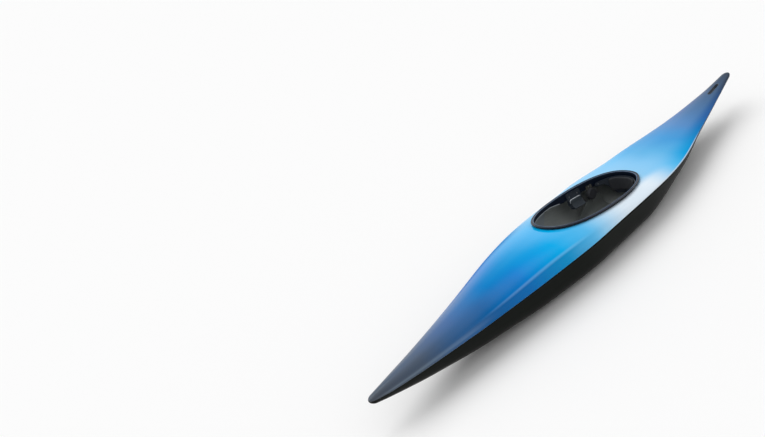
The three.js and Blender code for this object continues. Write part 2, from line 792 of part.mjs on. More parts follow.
// Knee plates follow the side walls inside the joint tape
const kneePlateOutline = new THREE.Shape([
  [kneePlateRear, kneePlateTop - kneePlateThickness],
  [kneePlateRear + kneePlateSlant, kneePlateTop - kneePlateDepth],
  [kneePlateRear + kneePlateLength - kneePlateSlant / 2, kneePlateTop - kneePlateDepth],
  [kneePlateRear + kneePlateLength, kneePlateTop],
  [kneePlateRear + kneePlateThickness, kneePlateTop],
].map(([x, z]) => new THREE.Vector2(x, z)));
const kneePlateSkin = tapedSpace.subtract(innerSolid(
  shellWall + 2 * touchGap + tapeThickness + kneePlateThickness,
));
const kneePlateInside = coamingWidth / 2 + lipWidth / 2;
for (const [side, sign] of sides) {
  const depth = overallBeam / 2 - kneePlateInside;
  const prism = new THREE.ExtrudeGeometry(kneePlateOutline, { depth, bevelEnabled: false })
    .rotateX(Math.PI / 2)
    .translate(0, sign > 0 ? overallBeam / 2 : -kneePlateInside, 0);
  addPart(`knee_plate_${side}`, kneePlateSkin.intersect(solidOf(prism)), finishes.paleFoam);
}

// Foam pillars on edge between hull and deck
const bowPillarFront = overallLength / 2 - bowPillarFromBow;
for (const [end, rear, front] of [
  ['bow', bowPillarFront - bowPillarLength, bowPillarFront],
  ['stern', sternPillarFromStern - overallLength / 2, coamingRear - sternPillarFromCoaming],
]) {
  const blank = box(
    new THREE.Vector3(rear, -pillarThickness / 2, -overrun),
    new THREE.Vector3(front, pillarThickness / 2, kneeHeight + overrun),
  );
  addPart(`${end}_pillar`, solidOf(blank).intersect(fittedSpace), finishes.paleFoam);
}

// Footrest rails on brackets that are trimmed to the side walls
const railInner = railSpacing / 2 - railWidth / 2;
const railOuter = railSpacing / 2 + railWidth / 2;
const railLength = 2 * footrestTravel + sliderLength + 2 * railEnd;
const railHalf = railLength / 2;

function sideBox(sign, x, y, z) {
  const ys = [sign * y[0], sign * y[1]].sort((a, b) => a - b);
  return solidOf(box(new THREE.Vector3(x[0], ys[0], z[0]), new THREE.Vector3(x[1], ys[1], z[1])));
}

function around(middle, size) {
  return [middle - size / 2, middle + size / 2];
}

for (const [side, sign] of sides) {
  let rail = sideBox(
    sign, around(footrestPlace, railLength), [railInner, railOuter], around(railHeight, railDepth),
  );
  rail = rail.subtract(sideBox(
    sign,
    around(footrestPlace, railLength + 2 * overrun),
    [railInner - overrun, railInner + grooveDepth],
    around(railHeight, grooveHeight),
  ));
  for (const [end, way] of [['rear', -1], ['front', 1]]) {
    const x = footrestPlace + way * (railHalf - bracketInset);
    let bracket = sideBox(
      sign,
      around(x, bracketLength),
      [railOuter + touchGap, overallBeam / 2],
      around(railHeight, bracketDepth),
    ).intersect(fittedSpace);
    const seat = new THREE.Vector3(x, sign * (railInner + grooveDepth - touchGap), railHeight);
    const head = rod(seat, outboard(-sign), boltHeadThickness, boltHeadDiameter, boltFacets);
    const shankStart = seat.clone().addScaledVector(outboard(sign), -boltHeadThickness / 2);
    const shank = rod(shankStart, outboard(sign), screwLength, boltDiameter, boltFacets);
    addPart(`rail_screw_${side}_${end}`, solidOf(head).add(solidOf(shank)), finishes.steel);
    const hole = solidOf(rod(
      shankStart, outboard(sign), screwLength + boreGap, boltDiameter + 2 * boreGap, boltFacets,
    ));
    rail = rail.subtract(hole);
    bracket = bracket.subtract(hole);
    addPart(`rail_bracket_${side}_${end}`, bracket, finishes.moulded);
  }
  addPart(`footrest_rail_${side}`, rail, finishes.aluminium);
}

// Sliders wrap the rails. A knob clamps each of them, and a bar joins them.
const sliderInner = railInner - slideGap - sliderWall;
const barPlace = footrestPlace + barOffset;
const knobPlace = footrestPlace - barOffset;

for (const [side, sign] of sides) {
  const wrapped = railWidth + 2 * slideGap;
  const tall = railDepth + 2 * slideGap;
  let slider = sideBox(
    sign,
    around(footrestPlace, sliderLength),
    [sliderInner, sliderInner + 2 * sliderWall + wrapped],
    around(railHeight, tall + 2 * sliderWall),
  );
  const hollow = [
    [[sliderInner + sliderWall, sliderInner + sliderWall + wrapped], tall],
    [[sliderInner + sliderWall, sliderInner + 3 * sliderWall + wrapped], tall - 2 * sliderLip],
  ];
  for (const [y, height] of hollow) {
    slider = slider.subtract(sideBox(
      sign, around(footrestPlace, sliderLength + 2 * overrun), y, around(railHeight, height),
    ));
  }
  for (const [x, diameter] of [[barPlace, barStubDiameter], [knobPlace, knobShankDiameter]]) {
    const start = new THREE.Vector3(x, sign * (sliderInner - overrun), railHeight);
    slider = slider.subtract(solidOf(rod(
      start, outboard(sign), sliderWall + overrun + slideGap, diameter + 2 * boreGap, shankFacets,
    )));
  }
  addPart(`footrest_slider_${side}`, slider, finishes.moulded);

  const knobStart = new THREE.Vector3(knobPlace, sign * (sliderInner - touchGap - knobThickness), railHeight);
  const shankLength = knobThickness / 2 + touchGap + sliderWall + slideGap + grooveDepth - touchGap;
  const shankStart = knobStart.clone().addScaledVector(outboard(sign), knobThickness / 2);
  const knob = solidOf(rod(knobStart, outboard(sign), knobThickness, knobDiameter, roundFacets))
    .add(solidOf(rod(shankStart, outboard(sign), shankLength, knobShankDiameter, shankFacets)));
  addPart(`clamp_knob_${side}`, knob, finishes.moulded);
}

const barHalf = sliderInner - touchGap;
const barStart = new THREE.Vector3(barPlace, -barHalf, railHeight);
const bar = solidOf(rod(barStart, outboard(1), 2 * barHalf, barDiameter, roundFacets))
  .add(solidOf(rod(
    new THREE.Vector3(barPlace, -sliderInner - sliderWall, railHeight),
    outboard(1),
    2 * (sliderInner + sliderWall),
    barStubDiameter,
    shankFacets,
  )));
addPart('footrest_bar', bar, finishes.aluminium);

for (const [side, sign] of sides) {
  const middle = (sign * footPlateSpacing) / 2;
  const clampRadius = barDiameter / 2 + touchGap + footClampWall;
  const plateFront = barPlace - clampRadius + footClampWall / 2;
  const [low, high] = around(footPlateHeightCentre, footPlateHeight);
  const [right, left] = around(middle, footPlateWidth);
  const plate = solidOf(box(
    new THREE.Vector3(plateFront - footPlateThickness, right, low),
    new THREE.Vector3(plateFront, left, high),
  ));
  const clampStart = new THREE.Vector3(barPlace, middle - footClampWidth / 2, railHeight);
  const clamp = solidOf(rod(clampStart, outboard(1), footClampWidth, 2 * clampRadius, roundFacets));
  const boreStart = clampStart.clone().addScaledVector(outboard(1), -footPlateWidth);
  const boreDiameter = barDiameter + 2 * touchGap;
  const bore = solidOf(rod(boreStart, outboard(1), 3 * footPlateWidth, boreDiameter, roundFacets));
  addPart(`foot_plate_${side}`, plate.add(clamp).subtract(bore), finishes.moulded);
}

export default kayak;
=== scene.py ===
"""Slalom kayak in metres: +X points to the bow, +Y to port and +Z up, and the ground is at zero.

A black hull and an airbrushed deck meet along the seam. The coaming, the fitted seat, the braces, the back
band and the sliding footrest follow from the outside in, each with the finish that it is made in.
"""

import math

import bmesh
import bpy
import numpy as np
from mathutils import Matrix, Vector


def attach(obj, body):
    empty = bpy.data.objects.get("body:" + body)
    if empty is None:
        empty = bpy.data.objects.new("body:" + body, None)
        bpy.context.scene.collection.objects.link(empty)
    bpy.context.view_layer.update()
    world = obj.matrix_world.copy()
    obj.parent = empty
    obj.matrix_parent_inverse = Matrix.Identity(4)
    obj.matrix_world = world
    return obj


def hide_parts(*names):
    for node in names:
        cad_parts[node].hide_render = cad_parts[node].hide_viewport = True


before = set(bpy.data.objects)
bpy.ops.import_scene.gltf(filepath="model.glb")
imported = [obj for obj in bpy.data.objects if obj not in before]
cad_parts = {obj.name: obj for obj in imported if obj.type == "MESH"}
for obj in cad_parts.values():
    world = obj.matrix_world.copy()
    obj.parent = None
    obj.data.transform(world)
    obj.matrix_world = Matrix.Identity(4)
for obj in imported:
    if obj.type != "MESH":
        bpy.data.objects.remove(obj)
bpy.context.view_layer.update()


# Camera
# It stands off the port bow above the boat, rolled a little, and aims beside it, so that the boat lies
# from low left to high right in the right half of the picture.
picture_width, picture_height = 765, 437
azimuth, elevation, roll = math.radians(134.15), math.radians(26.77), math.radians(18.31)
distance = 8.836
focal_pixels = 1559.7
aimed_point = Vector((0, 0, 0.162))
aimed_pixel = 572.25, 228.05

towards_camera = Vector((
    math.sin(azimuth) * math.cos(elevation), -math.cos(azimuth) * math.cos(elevation), math.sin(elevation),
))
level_right = (-towards_camera).cross(Vector((0, 0, 1))).normalized()
level_up = level_right.cross(-towards_camera)
rolled = Matrix((
    level_right * math.cos(roll) - level_up * math.sin(roll),
    level_right * math.sin(roll) + level_up * math.cos(roll),
    -towards_camera,
))
sight = Vector((
    aimed_pixel[0] - picture_width / 2, picture_height / 2 - aimed_pixel[1], focal_pixels,
)).normalized()
turned = Vector((0, 0, 1)).rotation_difference(sight).to_matrix() @ rolled

camera = bpy.data.objects.new("camera", bpy.data.cameras.new("camera"))
camera.data.sensor_width = 36
camera.data.lens = focal_pixels / picture_width * camera.data.sensor_width
camera.data.clip_end = 200
camera.matrix_world = Matrix.Translation(aimed_point + towards_camera * distance) @ Matrix((
    turned[0], turned[1], -turned[2],
)).transposed().to_4x4()
bpy.context.scene.collection.objects.link(camera)
bpy.context.scene.camera = camera


# Floor and light
# A wide floor painted matt white, under an even white sky and one large soft lamp that stands high on the
# starboard side. Reflections see a white sky near the horizon and overhead, and a grey card between.
class Wire:
    """An output of a material's nodes. Sums and products of it add Math nodes."""

    def __init__(self, tree, socket=None):
        self.tree, self.socket = tree, socket

    def node(self, kind, settings=None, values=None, output=0):
        """Adds a node with its settings and the values or wires of its inputs, and gives its output."""
        made = self.tree.nodes.new(kind)
        for name, value in (settings or {}).items():
            if name != "stops":
                setattr(made, name, value)
        stops = (settings or {}).get("stops", [])
        for i, (place, colour) in enumerate(stops):
            ramp = made.color_ramp.elements
            stop = ramp[0] if i == 0 else ramp[-1] if i == len(stops) - 1 else ramp.new(place)
            stop.position, stop.color = place, colour
        for name, value in (values or {}).items():
            if isinstance(value, Wire):
                self.tree.links.new(value.socket, made.inputs[name])
            else:
                made.inputs[name].default_value = value
        return Wire(self.tree, made.outputs[output]) if len(made.outputs) else None

    def beside(self, output):
        """Another output of the node that this one comes from."""
        return Wire(self.tree, self.socket.node.outputs[output])

    def maths(self, operation, *others):
        return self.node("ShaderNodeMath", {"operation": operation}, dict(enumerate((self, *others))))

    def __add__(self, other):
        return self.maths("ADD", other)

    def __sub__(self, other):
        return self.maths("SUBTRACT", other)

    def __rsub__(self, other):
        return self.node("ShaderNodeMath", {"operation": "SUBTRACT"}, {0: other, 1: self})

    def __mul__(self, other):
        return self.maths("MULTIPLY", other)

    def __truediv__(self, other):
        return self.maths("DIVIDE", other)

    def __abs__(self):
        return self.maths("ABSOLUTE")

    __radd__, __rmul__ = __add__, __mul__

    def axis(self, number):
        """How far along one axis this place is. The other axes are beside it."""
        return self.node("ShaderNodeSeparateXYZ", {}, {0: self}, output=number)

    def rise(self, low, high):
        """0 below low, 1 above high, and a smooth step between them. It falls where low is the larger."""
        settings = {"interpolation_type": "SMOOTHSTEP"}
        if low > high:
            return 1 - self.rise(high, low)
        return self.node("ShaderNodeMapRange", settings, {"Value": self, "From Min": low, "From Max": high})

    def tint(self, *colours):
        """The colour between two others that this share picks. They are wires, or levels as screen() has."""
        dark, light = (colour if isinstance(colour, Wire) else screen(*colour) for colour in colours)
        return self.node("ShaderNodeMix", {"data_type": "RGBA"}, {0: self, 6: dark, 7: light}, output=2)

    def grain(self, scale, detail=2.0, stretch=(1, 1, 1)):
        """Cloudy noise over the piece, from 0 to 1. A stretch under 1 draws it out along that axis."""
        place = self.node("ShaderNodeVectorMath", {"operation": "MULTIPLY"}, {0: self, 1: stretch})
        return self.node("ShaderNodeTexNoise", {}, {"Vector": place, "Scale": scale, "Detail": detail})


def screen(*levels):
    """Red, green and blue as a screen shows them, 0 to 255, as the light that it sends."""
    return tuple(((c / 255 + 0.055) / 1.055) ** 2.4 if c > 10 else c / 3294.6 for c in levels) + (1,)


def begin(name):
    """A new material, and the place on the piece in metres, as its first wire."""
    material = bpy.data.materials.new(name)
    material.use_nodes = True
    material.node_tree.nodes.clear()
    return material, Wire(material.node_tree).node("ShaderNodeTexCoord", output="Object")


def surface(place, values, height=None, depth=0.0005):
    """Ends a material: its surface takes the values, and bumps of that depth where a height is given."""
    if height is not None:
        values["Normal"] = place.node("ShaderNodeBump", {}, {"Height": height, "Distance": depth})
    shader = place.node("ShaderNodeBsdfPrincipled", {}, values)
    place.node("ShaderNodeOutputMaterial", {}, {"Surface": shader})


floor_half = 60
floor_mesh = bpy.data.meshes.new("floor")
floor_mesh.from_pydata([
    (x * floor_half, y * floor_half, 0) for x, y in ((-1, -1), (1, -1), (1, 1), (-1, 1))
], [], [(0, 1, 2, 3)])
floor = bpy.data.objects.new("floor", floor_mesh)
bpy.context.scene.collection.objects.link(floor)
floor_paint, floor_place = begin("floor_paint")
surface(floor_place, {"Base Color": (0.93, 0.93, 0.93, 1), "Roughness": 1, "Specular IOR Level": 0})
floor_mesh.materials.append(floor_paint)

sky_light, card_shade = 0.7, 0.85
world = bpy.data.worlds.new("sky")
world.use_nodes = True
world.node_tree.nodes.clear()
bpy.context.scene.world = world
ray = Wire(world.node_tree).node("ShaderNodeLightPath", output="Is Camera Ray")
seen = ray.maths("MAXIMUM", ray.beside("Is Glossy Ray"))
seen = seen.maths("MAXIMUM", ray.beside("Is Transmission Ray"))
up = ray.node("ShaderNodeTexCoord", output="Generated").axis(2)
card = up.rise(0.24, 0.6) * up.rise(1.0, 0.66) * ray.beside("Is Glossy Ray")
sky = ray.node("ShaderNodeBackground", {}, {
    "Color": (1, 1, 1, 1), "Strength": sky_light + seen * 0.3 - card * card_shade,
})
ray.node("ShaderNodeOutputWorld", {}, {"Surface": sky})

lamp = bpy.data.lights.new("lamp", "SUN")
lamp.energy, lamp.angle = 1.2, math.radians(60)
towards_lamp = Vector((0.05, -0.42, 0.9))
lamp_holder = bpy.data.objects.new("lamp", lamp)
lamp_holder.rotation_mode = "QUATERNION"
lamp_holder.rotation_quaternion = towards_lamp.to_track_quat("Z", "Y")
bpy.context.scene.collection.objects.link(lamp_holder)

bpy.context.scene.view_settings.view_transform = "Standard"


# Hull
# The lower moulding: black gelcoat outside, a woven laminate inside, with a hard seam edge, a flat bottom
# amidships and rocker towards both noses. It is laid up in one mould and trimmed along the seam.
boat_length, boat_half_beam, knee_height = 3.5, 0.2998, 0.3053
shell_wall, nose_length, nose_blunt = 0.003, 0.034, 0.004
fit_gap = 0.0003  # between parts that meet

# Place from the bow, half beam, keel, seam and deck crown, and fullness of the section, as shares.
line_shares = np.array([
    [0.00, 0.075, 0.680, 0.760, 0.815, 0.00],
    [0.04, 0.165, 0.550, 0.700, 0.840, 0.00],
    [0.12, 0.325, 0.325, 0.645, 0.875, 0.05],
    [0.24, 0.570, 0.095, 0.610, 0.940, 0.30],
    [0.36, 0.805, 0.008, 0.612, 1.000, 0.75],
    [0.48, 0.975, 0.000, 0.620, 0.885, 1.00],
    [0.60, 1.000, 0.000, 0.598, 0.690, 1.00],
    [0.72, 0.845, 0.110, 0.515, 0.583, 0.40],
    [0.84, 0.485, 0.330, 0.543, 0.596, 0.15],
    [0.94, 0.222, 0.530, 0.628, 0.660, 0.10],
    [1.00, 0.085, 0.655, 0.725, 0.755, 0.05],
])
hull_end_shares = [(0, 0), (0.32, 0.06), (0.55, 0.18), (0.74, 0.37), (0.87, 0.6), (0.96, 0.84), (1, 1)]
hull_middle_shares = [(0, 0), (0.45, 0), (0.64, 0.035), (0.78, 0.13), (0.885, 0.32), (0.955, 0.62), (1, 1)]


rises = np.diff(line_shares, axis=0) / np.diff(line_shares[:, :1], axis=0)
products = rises[:-1] * rises[1:]
# Slopes of the lines at the rows, level where a line turns
line_slopes = np.vstack([rises[0], np.zeros_like(products), rises[-1]])
np.divide(2 * products, rises[:-1] + rises[1:], out=line_slopes[1:-1], where=products > 0)


def lines(place):
    """The row of shares at a place from the bow, smooth between the rows of the table."""
    row = int(np.clip(np.searchsorted(line_shares[:, 0], place) - 1, 0, len(line_shares) - 2))
    start, end = line_shares[row], line_shares[row + 1]
    span = end[0] - start[0]
    t = min(max((place - start[0]) / span, 0), 1)
    straight = start + (end - start) * t * t * (3 - 2 * t)
    bend = t * (1 - t) ** 2 * line_slopes[row] - t * t * (1 - t) * line_slopes[row + 1]
    return straight + bend * span


def station(x):
    """Half beam, keel, seam, crown and fullness at a place along the boat."""
    place = 0.5 - x / boat_length
    nose = min((min(place, 1 - place) * boat_length + nose_blunt) / nose_length, 1)
    drawn = math.sqrt(1 - (1 - nose) ** 2)
    _, half_beam, keel, seam, crown, fullness = lines(place)
    seam = seam * knee_height
    keel = seam + (keel * knee_height - seam) * drawn
    crown = seam + (crown * knee_height - seam) * drawn
    return half_beam * boat_half_beam * drawn, keel, seam, crown, fullness


def through(points, steps, before, after):
    """A smooth curve through points, with a point before and one after them to aim its ends."""
    aims = np.array([before, *points, after], float)
    curve = []
    for a, b, c, d in zip(aims, aims[1:], aims[2:], aims[3:]):
        for t in np.arange(steps) / steps:
            square, cube = 2 * a - 5 * b + 4 * c - d, 3 * b - a - 3 * c + d
            curve.append(0.5 * (2 * b + (c - a) * t + square * t**2 + cube * t**3))
    return np.array([*curve, aims[-2]])


def hull_curve(shares):
    shares = np.array(shares, float)
    return np.maximum(through(shares, 5, shares[1] * (-1, 1), 2 * shares[-1] - shares[-2]), 0)


hull_end_curve, hull_middle_curve = hull_curve(hull_end_shares), hull_curve(hull_middle_shares)


def hull_half(x):
    """The port half of the hull's section, from keel to seam, as y and z."""
    half_beam, keel, seam, _, fullness = station(x)
    shares = hull_end_curve + (hull_middle_curve - hull_end_curve) * fullness
    return np.column_stack([shares[:, 0] * half_beam, keel + shares[:, 1] * (seam - fit_gap / 2 - keel)])


def both_sides(half, from_middle):
    """A half section and its mirror image as one run from starboard to port, or port to starboard."""
    mirror = half[::-1] * (-1, 1)
    return np.vstack([mirror[:-1], half]) if from_middle else np.vstack([half[:-1], mirror])


slot_middle, slot_length, slot_width = -1.567, 0.118, 0.027
cockpit_middle, cockpit_half_length, cockpit_half_width = -0.178, 0.383, 0.199


def stations_along():
    """Places along the boat, close together at the noses, round the stern slot and at the cockpit's ends."""
    even = np.arange(1, 150) / 150
    places = boat_length * (0.5 - even + 0.72 * np.sin(2 * math.pi * even) / (2 * math.pi))
    noses = boat_length / 2 - nose_length * np.array([0, 0.06, 0.15, 0.28, 0.45, 0.65, 0.85])
    slot = np.arange(-0.084, 0.085, 0.004) + slot_middle
    ends = np.arange(-0.04, 0.041, 0.006)
    extra = [slot, cockpit_middle + cockpit_half_length + ends, cockpit_middle - cockpit_half_length + ends]
    for fine in extra:
        places = places[(places < fine.min() - 0.003) | (places > fine.max() + 0.003)]
    return np.sort(np.concatenate([places, noses, -noses, *extra]))[::-1]


along = stations_along()


def quads(rows, wide, closed=0, around=0):
    """The faces over rows of points, row by row.

    Closed joins the last row to the first, and around joins the ends of each row.
    """
    grid = np.pad(np.arange(rows * wide).reshape(rows, wide), ((0, closed), (0, around)), "wrap")
    corners = [grid[:-1, :-1], grid[:-1, 1:], grid[1:, 1:], grid[1:, :-1]]
    return [tuple(face) for face in np.stack(corners, -1).reshape(-1, 4).tolist()]


def skin(section):
    """A skin through the sections along the boat, closed over at both noses."""
    rows = [np.column_stack([np.full(len(s), x), s]) for x, s in ((x, section(x)) for x in along)]
    wide = len(rows[0])
    last = (len(rows) - 1) * wide
    ends = [tuple(range(wide)), tuple(range(last + wide - 1, last - 1, -1))]
    return np.vstack(rows), quads(len(rows), wide) + ends


def trimmed(form, outside):
    """Cuts the skin along the line where outside() is zero and keeps what is above."""
    points, faces = form
    value = outside(points)
    points, cuts, kept = list(points), {}, []
    for face in faces:
        if all(value[i] >= 0 for i in face):
            kept.append(face)
            continue
        ring = []
        for a, b in zip(face, face[1:] + face[:1]):
            if value[a] >= 0:
                ring.append(a)
            if (value[a] >= 0) != (value[b] >= 0):
                key = (min(a, b), max(a, b))
                if key not in cuts:
                    low, high = (points[a], points[b]) if value[a] < 0 else (points[b], points[a])
                    for _ in range(12):
                        middle = (low + high) / 2
                        low, high = (low, middle) if outside(middle[None])[0] >= 0 else (middle, high)
                    cuts[key] = len(points)
                    points.append(high)
                ring.append(cuts[key])
        if len(ring) > 2:
            kept.append(tuple(ring))
    used = sorted({i for face in kept for i in face})
    index = {old: new for new, old in enumerate(used)}
    return [points[i] for i in used], [tuple(index[i] for i in face) for face in kept]


def outside_slot(points):
    """Distance outside the stern slot's plan, a bar with round ends."""
    straight = (slot_length - slot_width) / 2
    from_middle = np.maximum(np.abs(points[:, 0] - slot_middle) - straight, 0)
    return np.hypot(from_middle, points[:, 1]) - slot_width / 2 - fit_gap


def piece(name, form, body, materials, nodes=(), sharp=35, picks=None):
    """A piece of the boat in mesh code, which rides on a body and stands for the named solids.

    The form is its points and faces. The picks say which of its materials each face has.
    """
    mesh = bpy.data.meshes.new(name)
    mesh.from_pydata([tuple(p) for p in form[0]], [], form[1])
    if picks is not None:
        mesh.polygons.foreach_set("material_index", picks)
    mesh.validate()
    shaped = bmesh.new()
    shaped.from_mesh(mesh)
    bmesh.ops.remove_doubles(shaped, verts=shaped.verts, dist=1e-6)
    bmesh.ops.recalc_face_normals(shaped, faces=shaped.faces)
    shaped.to_mesh(mesh)
    shaped.free()
    mesh.shade_smooth()
    mesh.set_sharp_from_angle(angle=math.radians(sharp))
    for material in materials:
        mesh.materials.append(material)
    made = bpy.data.objects.new(name, mesh)
    bpy.context.scene.collection.objects.link(made)
    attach(made, body)
    if nodes:
        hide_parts(*nodes)
    return made


def thickened(made):
    """The skin gets its wall inwards, with the second material on the inside and on the rims."""
    wall = made.modifiers.new("wall", "SOLIDIFY")
    wall.thickness, wall.offset, wall.use_even_offset = shell_wall, -1, True
    wall.material_offset = wall.material_offset_rim = 1


def threads(place, pitch):
    """A twill of threads a pitch wide: which of the two sets is on top, and how high the cloth is there."""
    x = place.axis(0)
    y = x.beside(1)
    round_the_section = y + x.beside(2) * (y / 0.04).maths("TANH")
    u, v = x / pitch, round_the_section / pitch
    over = (u.maths("FLOOR") + v.maths("FLOOR")).maths("FLOORED_MODULO", 4).maths("LESS_THAN", 2)
    crest_u = (u.maths("FRACT") * math.pi).maths("SINE")
    crest_v = (v.maths("FRACT") * math.pi).maths("SINE")
    return over, over * crest_v + (1 - over) * crest_u


hull_gelcoat, place = begin("hull_gelcoat")
scuffs = place.grain(60, 6, (0.06, 1, 1)).rise(0.6, 0.72) * place.grain(3).rise(0.35, 0.75)
worn = scuffs * place.axis(2).rise(0.11, 0.0)
tone = place.grain(2.2, 3).tint((5, 9, 7), (12, 16, 11))
surface(place, {
    "Base Color": (worn * 0.3).tint(tone, (74, 76, 70)),
    "Roughness": 0.3 + worn * 0.35 + place.grain(9) * 0.08,
    "Specular IOR Level": 0.08,
}, place.grain(420, 1) * 0.25 + scuffs * -0.6, 0.00012)


def inside_laminate(name, dark, light, roughness):
    """Woven laminate as it shows inside the mouldings: bare threads under an uneven skin of resin."""
    material, place = begin(name)
    over, cloth = threads(place, 0.0032)
    resin = place.grain(11, 4)
    surface(place, {
        "Base Color": (over * 0.35 + resin * 0.65).tint(dark, light),
        "Roughness": roughness + resin * 0.25,
        "Specular IOR Level": 0.35,
    }, cloth + resin * 1.5, 0.0003)
    return material


hull_inside = inside_laminate("hull_inside", (138, 145, 148), (184, 188, 184), 0.42)
form = trimmed(skin(lambda x: both_sides(hull_half(x), True)), outside_slot)
hull = piece("hull", form, "boat", [hull_gelcoat, hull_inside], ["hull_shell"])
thickened(hull)


# Deck
# The upper moulding: steep side walls, a soft crease, a foredeck that peaks over the knees and a low rear
# deck. It is sprayed from slate grey at the noses through blue to pearl beside the cockpit, then lacquered.
deck_end_shares = [
    (1, 0), (0.985, 0.14), (0.9, 0.38), (0.78, 0.58), (0.63, 0.75), (0.47, 0.87), (0.3, 0.95),
    (0.15, 0.99), (0, 1),
]
deck_middle_shares = [
    (1, 0), (0.985, 0.2), (0.93, 0.48), (0.85, 0.68), (0.74, 0.82), (0.58, 0.92), (0.4, 0.97),
    (0.2, 0.995), (0, 1),
]


def deck_curve(shares):
    """A straight side wall up to the crease, then a smooth curve to the middle."""
    shares = np.array(shares, float)
    wall = shares[0] + (shares[1] - shares[0]) * (np.arange(4) / 4)[:, None]
    return np.vstack([wall, through(shares[1:], 5, 2 * shares[1] - shares[2], shares[-2] * (-1, 1))])


deck_end_curve, deck_middle_curve = deck_curve(deck_end_shares), deck_curve(deck_middle_shares)


def deck_half(x):
    """The port half of the deck's section, from seam to crown, as y and z."""
    half_beam, _, seam, crown, fullness = station(x)
    shares = deck_end_curve + (deck_middle_curve - deck_end_curve) * fullness
    bottom = seam + fit_gap / 2
    return np.column_stack([shares[:, 0] * half_beam, bottom + shares[:, 1] * (crown - bottom)])


crease_share, crease_half_width, crease_height = 0.9, 0.014, 0.0012
deck_shares = np.concatenate([
    np.linspace(1, 0.985, 5)[:-1], np.linspace(0.985, 0.925, 6)[:-1], np.linspace(0.925, 0.875, 13)[:-1],
    np.linspace(0.875, 0, 27),
])


def creased(x):
    """The deck's port section, with a soft ridge where the foredeck's side wall meets its top."""
    half = deck_half(x)
    out = deck_shares * half[0, 0]
    up = np.interp(out, half[::-1, 0], half[::-1, 1])
    reach = np.interp(x, (0.1, 0.32, 0.9, 1.3), (0, 1, 1, 0))
    lift = crease_height * reach * np.exp(-(((deck_shares - crease_share) / crease_half_width) ** 2))
    return np.column_stack([out + lift * 0.8, up + lift * 0.6])


coaming_exponent, riser_thickness = 2.36, 0.0035


def outside_cockpit(points):
    """Above zero outside the riser's outer face."""
    grown = riser_thickness + fit_gap
    along_share = np.abs(points[:, 0] - cockpit_middle) / (cockpit_half_length + grown)
    across_share = np.abs(points[:, 1]) / (cockpit_half_width + grown)
    return along_share**coaming_exponent + across_share**coaming_exponent - 1


# The paint down the middle and along the edges: a stop where the blend along the boat bends
middle_paint = [
    (-1.75, (66, 76, 90)), (-1.45, (76, 110, 150)), (-1.15, (77, 138, 199)), (-1.0, (52, 155, 221)),
    (-0.85, (84, 179, 233)), (-0.7, (122, 198, 245)), (-0.5, (132, 202, 243)), (0.2, (0, 181, 245)),
    (0.8, (0, 128, 201)), (1.1, (80, 115, 166)), (1.4, (93, 109, 133)), (1.75, (86, 96, 108)),
]
edge_paint = [
    (-1.75, (50, 58, 70)), (-1.6, (48, 66, 92)), (-1.3, (42, 100, 168)), (-1.15, (12, 122, 192)),
    (-0.85, (0, 164, 229)), (-0.7, (90, 192, 245)), (-0.5, (120, 200, 247)), (0.05, (110, 198, 244)),
    (0.35, (0, 175, 240)), (0.65, (0, 129, 212)), (0.95, (14, 98, 164)), (1.4, (73, 87, 106)),
    (1.75, (74, 80, 90)),
]


def sprayed(place, stops):
    """The colour of the paint from its stops. The place is 0 at the stern and 1 at the bow."""
    return place.node("ShaderNodeValToRGB", {
        "stops": [(0.5 + at / boat_length, screen(*colour)) for at, colour in stops],
    }, {"Fac": place})


deck_paint, place = begin("deck_paint")
x = place.axis(0)
overspray = place.grain(5, 2)
drifted = (x + (overspray - 0.5) * 0.1) / boat_length + 0.5
side = place.node("ShaderNodeAttribute", {"attribute_name": "side_share"}, output="Fac")
to_edge = (side + x.rise(-0.3, 0.6) * 0.3).rise(0.35, 0.95)
paint = to_edge.tint(sprayed(drifted, middle_paint), sprayed(drifted, edge_paint))
port = x.beside(1) + (overspray - 0.5) * 0.03
pearl = x.rise(-0.74, -0.44) * x.rise(0.16, -0.2) * port.rise(0.12, 0.215)
speckle = place.grain(900, 1).rise(0.35, 0.7)
foredeck = x.rise(0.05, 0.4) * x.rise(1.35, 0.8)
# Painted shade: the foredeck's side wall under the crease is painted a darker blue.
wall = side.rise(0.905, 0.925) * foredeck
# Painted reflection: the foredeck's starboard edge is painted a darker blue, a dark reflection of the edge.
starboard_dark_reflection = x.beside(1).rise(-0.02, -0.08) * side.rise(0.5, 0.78) * foredeck
# Painted highlight: a pale line painted along the foredeck's crease.
crease_highlight = side.rise(0.865, 0.897) * side.rise(0.935, 0.903) * x.rise(0.08, 0.35) * x.rise(1.05, 0.65)
# Painted highlight: a pale band painted along the deck's edge above the seam, out towards the bow.
seam_edge_highlight = side.rise(0.9, 0.955) * side.rise(0.998, 0.97) * x.rise(0.85, 1.15) * x.rise(1.74, 1.6)
# A thin pale line painted along the rear deck's edge above the seam, on both sides.
pale_seam_line = side.rise(0.972, 0.984) * x.rise(-1.15, -0.95) * x.rise(-0.3, -0.5)
paint = (wall * 0.35).tint(paint, (0, 62, 120))
paint = (starboard_dark_reflection * 0.65).tint(paint, (0, 90, 170))
paint = (crease_highlight * 0.22 + seam_edge_highlight * 0.12).tint(paint, (170, 200, 222))
paint = (pearl * (0.94 + speckle * 0.06)).tint(paint, (229, 241, 251))
# The lacquer is thinner on the foredeck's sides, towards the bow and on the starboard edge
lacquer = (1 - side.rise(0.7, 0.88) * foredeck * 0.65) * (1 - x.rise(0.95, 1.3) * 0.35)
surface(place, {
    "Base Color": (pale_seam_line * 0.6).tint(paint, (226, 233, 240)),
    "Roughness": 0.3 + place.grain(30, 3) * 0.06,
    "Specular IOR Level": 0.0,
    "Coat Weight": lacquer * (1 - starboard_dark_reflection * 0.9),
    "Coat IOR": 1.38,
    "Coat Roughness": 0.08,
}, place.grain(260, 1), 0.00004)

